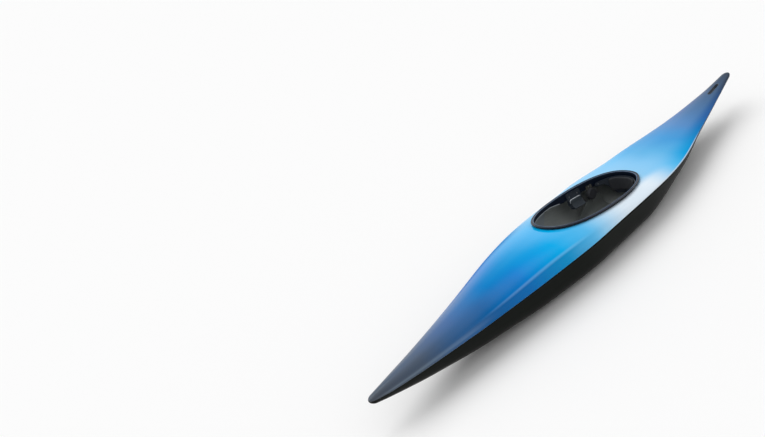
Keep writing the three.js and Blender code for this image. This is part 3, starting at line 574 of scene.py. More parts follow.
deck_inside = inside_laminate("deck_inside", (104, 120, 136), (146, 160, 174), 0.45)
form = skin(lambda x: both_sides(creased(x), False))
form = trimmed(form, lambda p: np.minimum(outside_slot(p), outside_cockpit(p)))
deck = piece("deck", form, "boat", [deck_paint, deck_inside], ["deck_shell"])
share = deck.data.attributes.new("side_share", "FLOAT", "POINT")
share.data.foreach_set("value", [abs(v.co.y) / max(station(v.co.x)[0], 0.001) for v in deck.data.vertices])
thickened(deck)


# Seam tape
# Woven tape wetted out with resin over the seam on the inside, port and starboard. It holds the two
# mouldings together.
tape_width, tape_thickness = 0.046, 0.001
tape_front, tape_rear = 1.52, -1.44
glue_gap = 0.0004
sides = ("port", 1), ("starboard", -1)


def side_run(x, depth):
    """The port side of the whole section from keel to crown, moved inwards by a depth, and the way along it.

    The way is 0 at the seam.
    """
    hull_part = hull_half(x)
    run = np.vstack([hull_part, deck_half(x)[1:]])
    steps = np.linalg.norm(np.diff(run, axis=0), axis=1)
    way = np.concatenate([[0], np.cumsum(steps)])
    heading = np.gradient(run, way, axis=0)
    heading /= np.linalg.norm(heading, axis=1)[:, None]
    return run + np.column_stack([-heading[:, 1], heading[:, 0]]) * depth, way - way[len(hull_part) - 1]


def sheet(point, rows, columns):
    """A closed sheet over a grid: point() gives its two faces for shares along and across.

    The faces come two by two, one of each side, and the rim last.
    """
    points = [
        point(i / rows, j / columns, side)
        for side in (0, 1) for i in range(rows + 1) for j in range(columns + 1)
    ]
    layer = (rows + 1) * (columns + 1)
    faces = []
    for a, b, c, d in quads(rows + 1, columns + 1):
        faces += [(a, b, c, d), (layer + a, layer + d, layer + c, layer + b)]
    grid = np.arange(layer).reshape(rows + 1, columns + 1)
    rim = np.concatenate([grid[0, :-1], grid[:-1, -1], grid[-1, :0:-1], grid[:0:-1, 0]]).tolist()
    faces += [(a, layer + a, layer + b, b) for a, b in zip(rim, rim[1:] + rim[:1])]
    return points, faces


tape_cloth, place = begin("tape_cloth")
over, cloth = threads(place, 0.004)
surface(place, {
    "Base Color": (over * 0.4 + place.grain(16, 3) * 0.6).tint((46, 45, 34), (84, 80, 62)),
    "Roughness": 0.45 + place.grain(20) * 0.2,
}, cloth, 0.0004)

for side, sign in sides:
    def on_tape(along_share, across_share, face):
        x = tape_rear + (tape_front - tape_rear) * along_share
        run, way = side_run(x, shell_wall + glue_gap + face * tape_thickness)
        reach = min(tape_width / 2, station(x)[0] * 0.3)
        at = (across_share * 2 - 1) * reach
        return x, sign * np.interp(at, way, run[:, 0]), np.interp(at, way, run[:, 1])

    tape = sheet(on_tape, 110, 8)
    piece(f"seam_tape_{side}_cloth", tape, "boat", [tape_cloth], [f"seam_tape_{side}"])


# Coaming
# A moulded ring of black laminate: a riser through the opening and a lip turned out over the deck for the
# spray deck. A bead of black adhesive runs round the riser where it meets the deck.
coaming_height, coaming_rise, coaming_length, coaming_crossfall = 0.253, 0.105, 0.802, 0.008
lip_width, lip_thickness, lip_edge, riser_depth, riser_cut = 0.018, 0.005, 0.007, 0.05, 0.022
ring_steps = 240


def plan(angle, offset):
    """The riser's inner face in plan, grown by an offset."""
    c, s = math.cos(angle), math.sin(angle)
    power = 2 / coaming_exponent
    return (
        cockpit_middle + (cockpit_half_length + offset) * math.copysign(abs(c) ** power, c),
        (cockpit_half_width + offset) * math.copysign(abs(s) ** power, s),
    )


def plan_angle(x, offset):
    share = (x - cockpit_middle) / (cockpit_half_length + offset)
    return math.acos(math.copysign(abs(share) ** (coaming_exponent / 2), share))


def plan_half_width(x, offset=0.0):
    return plan(plan_angle(x, offset), offset)[1]


def coaming_top(x, y):
    slope = coaming_rise / coaming_length
    return coaming_height + slope * (x - cockpit_middle) - coaming_crossfall * (y / cockpit_half_width) ** 2


def ring_piece(name, section, materials, nodes=(), pick=lambda x, run: 0):
    """A ring round the cockpit: section() gives offsets and heights for an angle.

    pick() says which material a place along the boat and a run of the section have.
    """
    points = []
    for step in range(ring_steps):
        angle = 2 * math.pi * (step + 0.5) / ring_steps
        rows = section(angle)
        points += [(*plan(angle, offset), z) for offset, z in rows]
    wide = len(rows)
    picks = [pick(point[0], i % wide) for i, point in enumerate(points)]
    form = points, quads(ring_steps, wide, 1, 1)
    piece(name, form, "boat", materials, nodes, 40, picks)


# The section runs up the riser's inner face, over a bead, a shallow hollow and the outer edge, and back.
lip_outline = [
    (0, -riser_depth), (0, -riser_depth + 0.0035), (0, -0.02), (0, -0.004), (0.0004, -0.0018),
    (0.0014, -0.0006), (0.003, 0), (0.0048, -0.0006), (0.0068, -0.0017), (0.0092, -0.0021),
    (0.0118, -0.0017), (0.0138, -0.0008), (0.0156, -0.0006), (0.017, -0.0014), (0.0178, -0.003),
    (lip_width, -0.0045), (0.0178, -0.0062), (0.0169, -lip_edge), (0.0158, -0.0064),
    (0.0148, -lip_thickness), (0.008, -0.0052), (0.0052, -0.0062), (0.0038, -0.0085),
    (riser_thickness, -0.012), (riser_thickness, -riser_depth + 0.0008), (0.0027, -riser_depth),
]


def coaming_section(angle):
    """The lip's and the riser's section. The riser is cut back ahead, where nothing hangs on it."""
    x, y = plan(angle, 0)
    top = coaming_top(x, y)
    cut = riser_cut * np.interp(x, (-0.2, -0.08), (0, 1))
    return [(offset, top + z + (cut if z < -0.03 else 0)) for offset, z in lip_outline]


def height_on(half, y):
    """Height of a half section, given from the middle outwards, at a distance from the middle."""
    return float(np.interp(abs(y), half[:, 0], half[:, 1]))


def deck_height(x, y):
    return height_on(deck_half(x)[::-1], y)


def bead_section(angle):
    foot = riser_thickness + fit_gap
    deck_z = deck_height(*plan(angle, foot + 0.002))
    return [
        (foot - glue_gap, deck_z - 0.001), (foot + 0.0048, deck_z - 0.001), (foot + 0.0042, deck_z + 0.0004),
        (foot + 0.0022, deck_z + 0.0014), (foot + 0.0008, deck_z + 0.0032), (foot - 0.0002, deck_z + 0.0046),
    ]


coaming_laminate, place = begin("coaming_laminate")
over, cloth = threads(place, 0.0028)
rubbed = place.grain(14, 5).rise(0.55, 0.75)
surface(place, {
    "Base Color": (over * 0.25 + rubbed * 0.3).tint((9, 17, 32), (32, 46, 70)),
    "Roughness": 0.34 + rubbed * 0.2,
    "Specular IOR Level": 0.18,
    "Coat Weight": 0.15,
    "Coat Roughness": 0.2,
}, cloth * 0.35 + place.grain(180) * 0.3, 0.0001)


def plain(name, dark, light, tones, roughness, gloss, bumps, depth, specular=0.5):
    """A material in one colour. Its tones, gloss and bumps are given as the grains that they follow."""
    material, place = begin(name)
    surface(place, {
        "Base Color": place.grain(*tones).tint(dark, light),
        "Roughness": roughness + place.grain(*gloss) * 0.2,
        "Specular IOR Level": specular,
    }, place.grain(*bumps), depth)
    return material


# Painted highlight: a lighter slate for the lip's inner bead.
bead_highlight_laminate = plain(
    "bead_highlight_laminate", (66, 88, 116), (104, 126, 154), tones=(30, 4), roughness=0.5, gloss=(30, 4),
    bumps=(300, 3), depth=0.0001, specular=0.3,
)
# Painted highlight: a pale colour for the lowest band of the riser's inner face under the front.
riser_foot_highlight = plain(
    "riser_foot_highlight", (168, 178, 186), (206, 212, 216), tones=(50, 4), roughness=0.6, gloss=(80,),
    bumps=(400, 3), depth=0.0001,
)


def coaming_pick(x, run):
    """The lip's inner bead and the lowest band of the riser's inner face under the front are painted lighter,
    as painted highlights.
    """
    return 1 if run in (4, 5, 6) else 2 if run == 0 and x > -0.17 else 0


coaming_finishes = [coaming_laminate, bead_highlight_laminate, riser_foot_highlight]
ring_piece("coaming_ring", coaming_section, coaming_finishes, ["cockpit_coaming"], coaming_pick)

adhesive = plain(
    "adhesive", (20, 21, 23), (38, 39, 42), tones=(60, 3), roughness=0.5, gloss=(40,),
    bumps=(120, 3), depth=0.0006,
)
ring_piece("coaming_bead", bead_section, [adhesive])


# Stern slot
# A moulded lining through hull and deck near the stern, glued flush at both ends, to put a hand or a strap
# through.
liner_wall = 0.0025
slot_steps = 96


def slot_plan(step, grow):
    """A point round the slot's plan, a bar with round ends."""
    straight, radius = (slot_length - slot_width) / 2, slot_width / 2 + grow
    angle = 2 * math.pi * (step + 0.5) / slot_steps
    c, s = math.cos(angle), math.sin(angle)
    return slot_middle + math.copysign(straight, c) + radius * c, radius * s


def hull_height(x, y):
    return height_on(hull_half(x), y)


rounded, straight_end = liner_wall * 0.35, 0.01
points = []
# Over the lower rim, up the inside, and over the upper rim with a small lip on the deck
for step in range(slot_steps):
    outer, inner = slot_plan(step, 0), slot_plan(step, -liner_wall)
    top, bottom = deck_height(*outer), hull_height(*outer)
    middle = slot_plan(step, -liner_wall / 2)
    points += [
        (*outer, bottom + rounded), (*slot_plan(step, -rounded), bottom), (*middle, bottom - 0.0003),
        (*slot_plan(step, rounded - liner_wall), bottom), (*inner, bottom + rounded),
        (*inner, bottom + straight_end), (*inner, top - straight_end), (*inner, top - rounded),
        (*slot_plan(step, rounded - liner_wall), top),
        (*middle, top + 0.0005), (*outer, top + 0.0007), (*slot_plan(step, 0.0012), top + 0.0003),
        (*slot_plan(step, 0.0013), top + 0.0001), (*outer, top - rounded),
    ]
# These faces take 13 points a step where a step has 14: a known fault, which tears the lining at its ends.
form = points, quads(slot_steps, 13, 1, 1)
slate_moulding = plain(
    "slate_moulding", (58, 68, 80), (84, 96, 110), tones=(25, 3), roughness=0.35, gloss=(60, 3),
    bumps=(900, 1), depth=0.00012,
)
piece("stern_slot_lining", form, "boat", [slate_moulding], ["stern_slot_liner"])


# Seat
# A low pan of woven laminate, glued to the hull's floor, with walls that fall away to the front. A pad of
# closed-cell foam with two drain grooves lies in it.
seat_rear, seat_length, seat_half_width, seat_half_floor = -0.5, 0.3, 0.176, 0.125
seat_base, seat_depth, seat_wall, seat_floor_lift = 0.003, 0.096, 0.004, 0.0038
seat_gap, seat_bevel = 0.0006, 0.0008
seat_floor_top = hull_height(seat_rear, seat_half_floor) + shell_wall + seat_floor_lift
seat_wall_shares = [(0, 0.86), (0.12, 1), (0.5, 1), (0.78, 0.55), (1, 0.034 / seat_depth)]
seat_curve_shares = np.array([(0, 0), (0.55, 0.08), (0.9, 0.28), (1, 0.58), (1, 1)])


def seat_half(x, inner):
    """Half of the pan's section from the middle to the top of its wall."""
    share = (x - seat_rear) / seat_length
    wall_share = np.interp(share, *zip(*seat_wall_shares))
    wall_top = seat_base + seat_depth * wall_share
    half_width = seat_half_width - (seat_wall if inner else 0)
    floor = seat_floor_top if inner else seat_base + seat_gap
    curve = through(seat_curve_shares, 6, (-0.5, 0), (1, 1.4))
    out = seat_half_floor + (half_width - seat_half_floor) * curve[:, 0]
    up = floor + (wall_top - floor) * curve[:, 1]
    flat = np.column_stack([np.linspace(0, seat_half_floor, 8)[:-1], np.full(7, floor)])
    section = np.vstack([flat, np.column_stack([out, up])])
    if not inner:
        clear = [hull_height(x, y) + shell_wall + seat_gap for y in section[:, 0]]
        section[:, 1] = np.minimum(np.maximum(section[:, 1], clear), wall_top)
    return section


rows = []
for x in np.linspace(seat_rear, seat_rear + seat_length, 61):
    outer, inner = seat_half(x, False), seat_half(x, True)
    lip = np.array([outer[-1] + (-seat_bevel, seat_gap), inner[-1] + (seat_bevel, seat_gap)])
    outside = both_sides(outer, True)
    ring = np.vstack([outside, lip, both_sides(inner, True)[::-1], lip[::-1] * (-1, 1)])
    rows.append(np.column_stack([np.full(len(ring), x), ring]))
wide = len(ring)
faces = quads(len(rows), wide, around=1)
# The cut ends of the laminate, from its outside to its inside
for start in (0, (len(rows) - 1) * wide):
    for j in range(len(outside) - 1):
        faces.append((start + j, start + j + 1, start + wide - 4 - j, start + wide - 3 - j))

seat_laminate, place = begin("seat_laminate")
over, cloth = threads(place, 0.0026)
resin = place.grain(9, 4)
surface(place, {
    "Base Color": (over * 0.45 + resin * 0.4).tint((84, 90, 92), (136, 140, 136)),
    "Roughness": 0.3 + resin * 0.25,
    "Coat Weight": 0.3,
    "Coat Roughness": 0.2,
}, cloth, 0.0002)
form = np.vstack(rows), faces
piece("seat_pan_laminate", form, "boat", [seat_laminate], ["seat_pan"], 50)


def pad_foam(name, dark, light, pressed_scale):
    """Closed-cell foam: fine cells, and cloudy where it was pressed."""
    material, place = begin(name)
    cells = place.node("ShaderNodeTexVoronoi", {}, {"Vector": place, "Scale": 900})
    pressed = place.grain(pressed_scale, 3)
    surface(place, {
        "Base Color": (cells * 0.5 + pressed * 0.5).tint(dark, light),
        "Roughness": 0.82 + pressed * 0.1,
        "Specular IOR Level": 0.3,
    }, cells * 0.6 + place.grain(40, 3) * 1.2, 0.0004)
    return material


dark_foam = pad_foam("dark_foam", (36, 38, 42), (68, 70, 75), pressed_scale=7)


def crowded(share):
    """Shares closer together at both ends, where the foam turns over its edge."""
    return 0.5 - 0.5 * math.cos(math.pi * share)


def edge_round(u, v, radius_u, radius_v):
    """Half the foam's thickness near its edge, as a share: a quarter round."""
    near_u = min(1, min(u, 1 - u) / radius_u)
    near_v = min(1, min(v, 1 - v) / radius_v)
    return math.sqrt(max(0, 1 - (1 - near_u) ** 2)) * math.sqrt(max(0, 1 - (1 - near_v) ** 2))


def corner_round(u, v, radius_u, radius_v):
    """Moves a grid's shares in at its corners, so that the outline has round corners."""
    a, b = 2 * u - 1, 2 * v - 1
    near_a = (abs(a) - (1 - 2 * radius_u)) / (2 * radius_u)
    near_b = (abs(b) - (1 - 2 * radius_v)) / (2 * radius_v)
    if near_a <= 0 or near_b <= 0:
        return u, v
    round_a, round_b = near_a * math.sqrt(1 - near_b**2 / 2), near_b * math.sqrt(1 - near_a**2 / 2)
    a = math.copysign(1 - 2 * radius_u + 2 * radius_u * round_a, a)
    b = math.copysign(1 - 2 * radius_v + 2 * radius_v * round_b, b)
    return (a + 1) / 2, (b + 1) / 2


pad_length, pad_width, pad_thickness, pad_crown = 0.272, 0.222, 0.014, 0.006
groove_places, groove_width, groove_depth = (0.33, 0.67), 0.034, 0.005
pad_gap = 0.0005
pad_base = seat_floor_top + pad_gap


def on_seat_pad(u, v, face):
    u, v = crowded(u), crowded(v)
    thick = edge_round(u, v, 0.03, 0.036)
    crown = pad_crown * math.sin(math.pi * u) * math.sin(math.pi * v)
    groove = sum(math.exp(-((v - at) / groove_width) ** 2) for at in groove_places)
    groove = groove * min(1, 8 * min(u, 1 - u)) * groove_depth
    half = pad_thickness / 2
    z = pad_base + half + (half * thick + (crown - groove) * thick if face else -half * thick)
    u, v = corner_round(u, v, 0.12, 0.147)
    return seat_rear + 0.014 + u * pad_length, (v - 0.5) * pad_width, z


form = sheet(on_seat_pad, 56, 56)
piece("seat_cushion", form, "boat", [dark_foam], ["seat_pad"], 60)


# Seat hangers and hip pads
# Stiff webbing straps join the seat's walls to the coaming's riser. A disc of firm foam is glued on each of
# them to hold the hips.
hanger_place, hanger_width, hanger_thickness = -0.41, 0.04, 0.003
hip_radius, hip_thickness, bolt_drop, seat_bolt_drop = 0.034, 0.018, 0.038, 0.02
seat_top = seat_base + seat_depth
hanger_top = coaming_top(hanger_place, cockpit_half_width) - bolt_drop + 0.011
hanger_knee = coaming_top(hanger_place, cockpit_half_width) - riser_depth - fit_gap
hanger_foot = seat_top - 2 * seat_bolt_drop
hip_steps = 72
# Rings from the middle of the inboard face over the rounded edge to the strap: radius and depth. A ring
# without a depth lies on the strap.
hip_profile = [
    (0.0, 0.0022), (0.4, 0.0016), (0.7, 0.0005), (0.84, 0.0), (0.92, 0.0006), (0.97, 0.0022), (1.0, 0.005),
    (1.0, 0.012), (0.99, 0.016), (0.96, None), (0.5, None), (0.0, None),
]


def hanger_out(x, z):
    """How far out the strap's inboard face lies at a height: on the riser, then out to the seat's wall."""
    on_riser = plan_half_width(x) - glue_gap - hanger_thickness
    on_wall = seat_half_width + fit_gap
    share = min(max((hanger_knee - z) / (hanger_knee - seat_top), 0), 1)
    return on_riser + (on_wall - on_riser) * share * share * (3 - 2 * share)


webbing, place = begin("webbing")
x = place.axis(0)
z = x.beside(2)
rib = (z * (2 * math.pi / 0.0022)).maths("SINE")
cross = (x * (2 * math.pi / 0.0016)).maths("SINE")
weave = rib * 0.6 + cross * rib * 0.5
from_middle = abs(x - hanger_place)
stitch_line = from_middle.rise(0.0128, 0.0134) * from_middle.rise(0.0154, 0.0148)
dash = (z / 0.0042).maths("FRACT")
stitch = stitch_line * dash.rise(0.25, 0.32) * dash.rise(0.98, 0.9)
cloth_colour = (place.grain(18, 3) * 0.6 + weave * 0.2 + 0.2).tint((46, 48, 46), (84, 84, 76))
surface(place, {
    "Base Color": stitch.tint(cloth_colour, (120, 120, 112)),
    "Roughness": 0.78 + place.grain(30) * 0.12,
}, weave + stitch * 2.0, 0.0003)

for side, sign in sides:
    def on_strap(u, v, face):
        u, v = corner_round(u, v, 0.12, 0.03)
        x = hanger_place + (u - 0.5) * hanger_width
        z = hanger_top + (hanger_foot - hanger_top) * v
        return x, sign * (hanger_out(x, z) + (glue_gap + face * (hanger_thickness - 2 * glue_gap))), z

    strap = sheet(on_strap, 14, 60)
    piece(f"seat_hanger_{side}_strap", strap, "boat", [webbing], [f"seat_hanger_{side}"], 50)

    points = []
    centre_z = seat_top + fit_gap + hip_radius
    inboard = hanger_out(hanger_place, hanger_top) - hip_thickness
    for radius, depth in hip_profile:
        for step in range(hip_steps):
            angle = 2 * math.pi * step / hip_steps
            x = hanger_place + hip_radius * radius * math.cos(angle)
            z = centre_z + hip_radius * radius * math.sin(angle)
            y = hanger_out(x, z) - glue_gap / 2 if depth is None else inboard + depth
            points.append((x, sign * y, z))
    form = points, quads(len(hip_profile), hip_steps, around=1)
    disc = piece(f"hip_pad_{side}_foam", form, "boat", [dark_foam], [f"hip_pad_{side}"], 50)


# Thigh braces
# Plates of carbon laminate bolted to the riser, hooked inboard at the foot to hold the thighs, each with a
# pad of foam on its lower face.
brace_rear, brace_length, brace_thickness, brace_depth = -0.345, 0.113, 0.004, 0.098
brace_drop, brace_hook, hook_share = 0.013, 0.022, 0.6
thigh_pad_half, thigh_pad_inset, pad_rows = 0.0072, 0.01, 32
highlight_top, highlight_front = 3, 13  # strips of the pad's grid painted pale as a painted highlight, along its top and in its front

carbon_laminate, place = begin("carbon_laminate")
over, cloth = threads(place, 0.002)
surface(place, {
    "Base Color": (over * 0.7 + place.grain(12, 3) * 0.3).tint((20, 27, 36), (52, 62, 76)),
    "Roughness": 0.28 + over * 0.12,
    "Coat Weight": 0.6,
    "Coat Roughness": 0.08,
}, cloth, 0.0001)

thigh_foam = pad_foam("thigh_foam", (46, 53, 60), (76, 84, 92), pressed_scale=9)

# Painted highlight: a pale foam colour for the thigh pads' top and front edges.
pad_edge_highlight, place = begin("pad_edge_highlight")
cells = place.node("ShaderNodeTexVoronoi", {}, {"Vector": place, "Scale": 800})
surface(place, {
    "Base Color": cells.tint((192, 200, 208), (222, 228, 233)),
    "Roughness": 0.85,
    "Specular IOR Level": 0.3,
}, cells, 0.0003)


def brace_point(x, down, offset, sign):
    hook = brace_hook * max(0, (down - hook_share) / (1 - hook_share)) ** 2
    y = plan_half_width(x) - glue_gap - brace_thickness - hook + offset
    return x, sign * y, coaming_top(x, cockpit_half_width) - brace_drop - down * brace_depth


for side, sign in sides:
    def on_brace(u, v, face):
        u, v = corner_round(u, v, 0.08, 0.09)
        offset = glue_gap / 2 + face * (brace_thickness - glue_gap)
        return brace_point(brace_rear + u * brace_length, v, offset, sign)

    def on_thigh_pad(u, v, face):
        u, v = crowded(u), crowded(v)
        thick = edge_round(u, v, 0.08, 0.12)
        u, v = corner_round(u, v, 0.16, 0.2)
        x = brace_rear + thigh_pad_inset + u * (brace_length - 2 * thigh_pad_inset)
        rise = (thigh_pad_half if face else glue_gap - thigh_pad_half) * thick
        return brace_point(x, 0.4 + 0.6 * v, -2 * glue_gap - (thigh_pad_half + rise), sign)

    form, nodes = sheet(on_brace, 28, 40), [f"thigh_brace_{side}"]
    piece(f"thigh_brace_{side}_plate", form, "boat", [carbon_laminate], nodes)
    form, nodes = sheet(on_thigh_pad, pad_rows, pad_rows), [f"thigh_pad_{side}"]
    # The faces come two by two, and the pad's front is in the last two rows.
    picks = [
        int(i // 2 % pad_rows < (highlight_front if i // 2 // pad_rows >= pad_rows - 2 else highlight_top))
        for i in range(len(form[1]))
    ]
    finishes = [thigh_foam, pad_edge_highlight]
    pad = piece(f"thigh_pad_{side}_foam", form, "boat", finishes, nodes, 60, picks)


# Back band
# A bent carbon band that swings on two bolts behind the paddler, deep at the back and narrow at the arms,
# with a foam pad on its front.
band_gap, band_height, band_arm_height, band_thickness = 0.014, 0.112, 0.026, 0.003
band_pivot, band_reach, band_pad_height, band_pad_thickness = -0.455, 0.014, 0.084, 0.012
quilt_count = 6
band_pivot_height = coaming_top(band_pivot, cockpit_half_width) - bolt_drop
band_top = band_pivot_height + band_arm_height / 2
band_start = plan_angle(band_pivot + band_reach, -band_gap)


def band_depth(share):
    near = min(max((min(share, 1 - share) - 0.1) / 0.24, 0), 1)
    return band_arm_height + (band_height - band_arm_height) * near * near * (3 - 2 * near)


def band_place(share, offset):
    return plan(band_start + (2 * math.pi - 2 * band_start) * share, offset)


def on_band(u, v, face):
    u, v = corner_round(u, v, 0.02, 0.45)
    x, y = band_place(u, -band_gap - glue_gap / 2 - face * (band_thickness - glue_gap))
    return x, y, band_top - v * band_depth(u)


def on_band_pad(u, v, face):
    u, v = crowded(u), crowded(v)
    thick = edge_round(u, v, 0.05, 0.12)
    u, v = corner_round(u, v, 0.08, 0.2)
    share = 0.22 + 0.56 * u
    quilt = 0.0012 * (1 - abs(math.sin(math.pi * quilt_count * u)) ** 0.3) * thick if face else 0
    half = band_pad_thickness / 2
    offset = half + (half * thick - quilt if face else -half * thick)
    x, y = band_place(share, -band_gap - band_thickness - pad_gap - offset)
    return x, y, band_top - band_thickness - v * min(band_pad_height, band_depth(share) - 2 * band_thickness)


form = sheet(on_band, 120, 16)
piece("back_band_plate", form, "back_band", [carbon_laminate], ["back_band"])
form = sheet(on_band_pad, 96, 28)
pad = piece("back_band_cushion", form, "back_band", [dark_foam], ["back_band_pad"], 60)


# Knee plates and pillars
# Plates of pale closed-cell foam glued to the side walls ahead of the seat, and foam pillars on edge in bow
# and stern that hold the deck up off the hull.
plate_rear, plate_length, plate_slant, plate_inner = -0.15, 0.32, 0.08, 0.228
plate_top, plate_depth, plate_thickness, plate_gap = 0.232, 0.118, 0.005, 0.0016

pale_foam, place = begin("pale_foam")
cells = place.node("ShaderNodeTexVoronoi", {}, {"Vector": place, "Scale": 700})
cut = place.grain(24, 4, (0.3, 1, 1))
surface(place, {
    "Base Color": (cells * 0.4 + cut * 0.6).tint((134, 143, 150), (172, 180, 186)),
    "Roughness": 0.85,
    "Specular IOR Level": 0.3,
}, cells * 0.6 + cut, 0.0004)

for side, sign in sides:
    def on_knee_plate(u, v, face):
        u, v = corner_round(u, v, 0.06, 0.14)
        rear, front = plate_rear + plate_slant * v, plate_rear + plate_length - plate_slant / 2 * v
        x = rear + (front - rear) * u
        run, _ = side_run(x, shell_wall + tape_thickness + plate_gap + face * plate_thickness)
        side_top = run[run[:, 0] > plate_inner, 1].max()
        z = min(plate_top, side_top) * (1 - v) + (plate_top - plate_depth) * v
        return x, sign * np.interp(z, run[:, 1], run[:, 0]), z

    form = sheet(on_knee_plate, 60, 28)
    piece(f"knee_plate_{side}_foam", form, "boat", [pale_foam], [f"knee_plate_{side}"])


def keep(node, material, bevel):
    """A solid that is shown as it is, with its edges broken and its finish."""
    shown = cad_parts[node]
    shown.data.materials.clear()
    shown.data.materials.append(material)
    edges = shown.modifiers.new("edges", "BEVEL")
    edges.width, edges.segments = bevel, 2
    edges.limit_method, edges.angle_limit = "ANGLE", math.radians(40)


for node in ("bow_pillar", "stern_pillar"):
    keep(node, pale_foam, 0.002)


# Footrest
# Two grooved aluminium rails on brackets, moulded sliders that wrap them, a tube between the sliders and two
# ribbed foot plates clamped on it. It slides fore and aft for the paddler's legs, and a knob locks each side.
footrest_place, rail_height, bar_place, knob_place = 0.6, 0.1, 0.616, 0.584
slider_inner, slider_wall, bar_radius, stub_radius = 0.1276, 0.005, 0.011, 0.005
foot_half_spacing, foot_width, foot_height, foot_thickness, foot_centre = 0.064, 0.084, 0.124, 0.006, 0.105
clamp_radius, clamp_width, clamp_bevel, knob_radius, knob_thickness = 0.0163, 0.04, 0.0015, 0.012, 0.009
rib_count, rib_height, knob_screw = 11, 0.0012, 0.0028

aluminium, place = begin("aluminium")
brushed = place.grain(240, 2, (0.04, 1, 1))
surface(place, {
    "Base Color": brushed.tint((168, 171, 176), (204, 206, 210)),
    "Metallic": 1.0,
    "Roughness": 0.3 + brushed * 0.15,
}, brushed, 0.00006)

moulded_black = plain(
    "moulded_black", (22, 23, 25), (38, 39, 42), tones=(25, 3), roughness=0.42, gloss=(60, 3),
    bumps=(1400, 1), depth=0.00012,
)
for side, _ in sides:
    keep(f"footrest_rail_{side}", aluminium, 0.0008)
    keep(f"footrest_slider_{side}", moulded_black, 0.0012)
    for end in ("rear", "front"):
        keep(f"rail_bracket_{side}_{end}", moulded_black, 0.0012)


def turned_form(rings, start, direction, around=48):
    """A round form along a level direction.

    A ring is a distance along it and a radius, and where it isn't round also a shape() of the angle.
    """
    direction = Vector(direction).normalized()
    across = direction.cross(Vector((0, 0, 1))).normalized()
    other = direction.cross(across)
    points = []
    for reach, radius, *shape in rings:
        for step in range(around):
            angle = 2 * math.pi * step / around
            spoke = across * math.cos(angle) + other * math.sin(angle)
            r = radius * (shape[0](angle) if shape else 1)
            points.append(Vector(start) + direction * reach + spoke * r)
    last = (len(rings) - 1) * around
    ends = [tuple(range(around - 1, -1, -1)), tuple(range(last, last + around))]
    return points, quads(len(rings), around, around=1) + ends


def joined(*forms):
    """Several forms as one set of points and faces."""
    points, faces = [], []
    for form_points, form_faces in forms:
        start = len(points)
        points += list(form_points)
        faces += [tuple(start + i for i in face) for face in form_faces]
    return points, faces


bar_half = slider_inner - fit_gap
stub_half = slider_inner + slider_wall
bar = turned_form([
    (0, stub_radius * 0.8), (0.001, stub_radius), (stub_half - bar_half, stub_radius),
    (stub_half - bar_half, bar_radius * 0.92), (stub_half - bar_half + 0.001, bar_radius),
    (stub_half + bar_half - 0.001, bar_radius), (stub_half + bar_half, bar_radius * 0.92),
    (stub_half + bar_half, stub_radius), (2 * stub_half - 0.001, stub_radius),
    (2 * stub_half, stub_radius * 0.8),
], (bar_place, -stub_half, rail_height), (0, 1, 0))
piece("footrest_tube", bar, "footrest", [aluminium], ["footrest_bar"])

plate_front = bar_place - clamp_radius + 0.0025
for side, sign in sides:
    middle = sign * foot_half_spacing

    def on_foot_plate(u, v, face):
        wave = 0.5 + 0.5 * math.cos(2 * math.pi * rib_count * v)
        rib = rib_height * wave * min(1, 10 * min(u, 1 - u, v, 1 - v))
        u, v = corner_round(u, v, 0.14, 0.095)
        x = plate_front - foot_thickness + (foot_thickness if face else rib_height - rib)
        return x, middle + (u - 0.5) * foot_width, foot_centre + (v - 0.5) * foot_height

    plate = sheet(on_foot_plate, 40, 110)
    clamp_bore = clamp_radius - 0.0048
    clamp = turned_form([
        (clamp_bevel, clamp_bore), (0.0, clamp_radius - clamp_bevel), (clamp_bevel, clamp_radius),
        (clamp_width - clamp_bevel, clamp_radius), (clamp_width, clamp_radius - clamp_bevel),
        (clamp_width - clamp_bevel, clamp_bore),
    ], (bar_place, middle - clamp_width / 2, rail_height), (0, 1, 0))
    form, nodes = joined(plate, clamp), [f"foot_plate_{side}"]
    piece(f"foot_plate_{side}_moulding", form, "footrest", [moulded_black], nodes)

    def lobes(angle):
        return 0.94 + 0.06 * math.cos(7 * angle)

    knob_start = sign * (slider_inner - fit_gap - knob_thickness)
    screw_end = knob_thickness + 0.0134
    form, nodes = turned_form([
        (0.0006, 0.0050), (0.0, 0.0062), (0.0002, 0.0090), (0.0016, knob_radius, lobes),
        (knob_thickness - 0.0016, knob_radius, lobes), (knob_thickness, knob_radius - 0.0022),
        (knob_thickness, knob_screw), (screw_end - 0.0006, knob_screw), (screw_end, 0.0022),
    ], (knob_place, knob_start, rail_height), (0, sign, 0), 84), [f"clamp_knob_{side}"]
    piece(f"clamp_knob_{side}_moulding", form, f"knob_{side}", [moulded_black], nodes)


# Bolts
# Stainless button-head bolts with hexagon sockets, and nuts outside the riser, hold the hangers, the braces
# and the back band. Screws of the same kind hold the rails to their brackets.
steel, place = begin("steel")
lathe_marks = place.grain(900, 2)
surface(place, {
    "Base Color": place.grain(60, 3).tint((112, 115, 119), (150, 152, 155)),
    "Metallic": 1.0,
    "Roughness": 0.32 + lathe_marks * 0.12,
}, lathe_marks, 0.00005)


def hexagon(angle):
    return 1 / math.cos((angle + math.pi / 6) % (math.pi / 3) - math.pi / 6)


head_radius, head_thickness, shank_radius, nut_flat, nut_thickness = 0.0055, 0.0025, 0.0025, 0.0039, 0.004
rail_screw_reach, rail_screw_face = 0.152, 0.1362


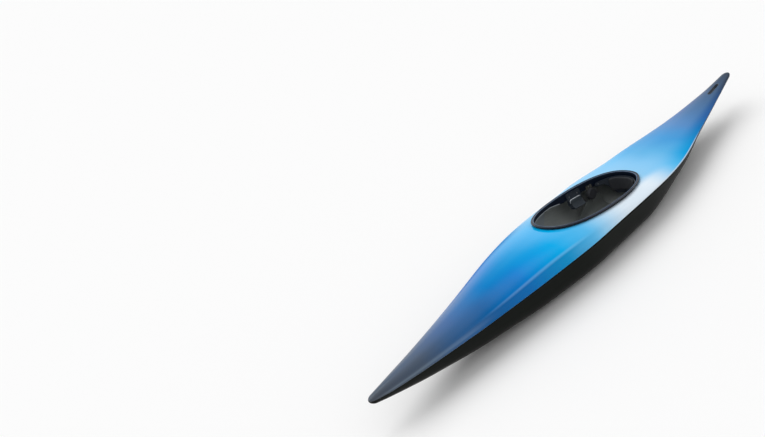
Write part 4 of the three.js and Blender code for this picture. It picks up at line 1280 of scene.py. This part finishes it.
def bolt(node, face, direction, grip, nut=True, collar=None):
    """A bolt whose head seats on a face, with its nut beyond the grip."""
    under_head = head_thickness + fit_gap
    start = Vector(face) - Vector(direction).normalized() * under_head
    rings = [
        (0.0014, 0.0015, hexagon), (0.0003, 0.0015, hexagon), (0.0002, 0.0026), (0.0006, 0.0039),
        (0.0014, 0.0050), (0.0021, head_radius), (head_thickness, head_radius),
        (head_thickness, shank_radius),
    ]
    end = under_head + grip + fit_gap
    if collar:
        low, high = (under_head + reach for reach in collar)
        rings += [(low, shank_radius), (low, 0.0045), (high, 0.0045), (high, shank_radius)]
    if nut:
        nut_end = end + nut_thickness
        rings += [
            (end, shank_radius), (end, nut_flat), (end + 0.0004, nut_flat, hexagon),
            (nut_end - 0.0008, nut_flat, hexagon), (nut_end - 0.0003, nut_flat * 0.98),
            (nut_end - 0.0003, shank_radius), (nut_end, shank_radius * 0.9),
        ]
    else:
        rings += [(end - 0.001, shank_radius), (end, shank_radius * 0.7)]
    form = turned_form(rings, start, direction)
    piece(f"{node}_steel", form, "boat", [steel], [node], 30)


def riser_point(x, sign, inward):
    """A place on the riser's inner face, moved inboard, and the way out through it."""
    turn = (plan_half_width(x + 0.006) - plan_half_width(x - 0.006)) / 0.012
    outward = Vector((-turn, sign, 0)).normalized()
    y = plan_half_width(x)
    return Vector((x, sign * y, coaming_top(x, y) - bolt_drop)) - outward * inward, outward


for side, sign in sides:
    face, outward = riser_point(hanger_place, sign, hanger_thickness + fit_gap)
    bolt(f"hanger_bolt_{side}", face, outward, grip=0.0068)
    face = Vector((hanger_place, sign * (seat_half_width - seat_wall), seat_top - seat_bolt_drop))
    bolt(f"seat_bolt_{side}", face, (0, sign, 0), grip=0.0073)
    for end, share in (("rear", 0.2), ("front", 0.8)):
        face, outward = riser_point(brace_rear + share * brace_length, sign, brace_thickness + fit_gap)
        bolt(f"brace_bolt_{side}_{end}", face, outward, grip=0.0078)
    inner_y, outer_y = plan_half_width(band_pivot, -band_gap), plan_half_width(band_pivot)
    face = Vector((band_pivot, sign * (inner_y - 2 * band_thickness), band_pivot_height))
    grip = outer_y - inner_y + 2 * band_thickness + 2 * riser_thickness
    collar = (3 * band_thickness, outer_y - inner_y + band_thickness - 2 * fit_gap)
    bolt(f"band_bolt_{side}", face, (0, sign, 0), grip, collar=collar)
    for end, way in (("rear", -1), ("front", 1)):
        face = Vector((footrest_place + way * rail_screw_reach, sign * rail_screw_face, rail_height))
        bolt(f"rail_screw_{side}_{end}", face, (0, sign, 0), grip=0.0241, nut=False)
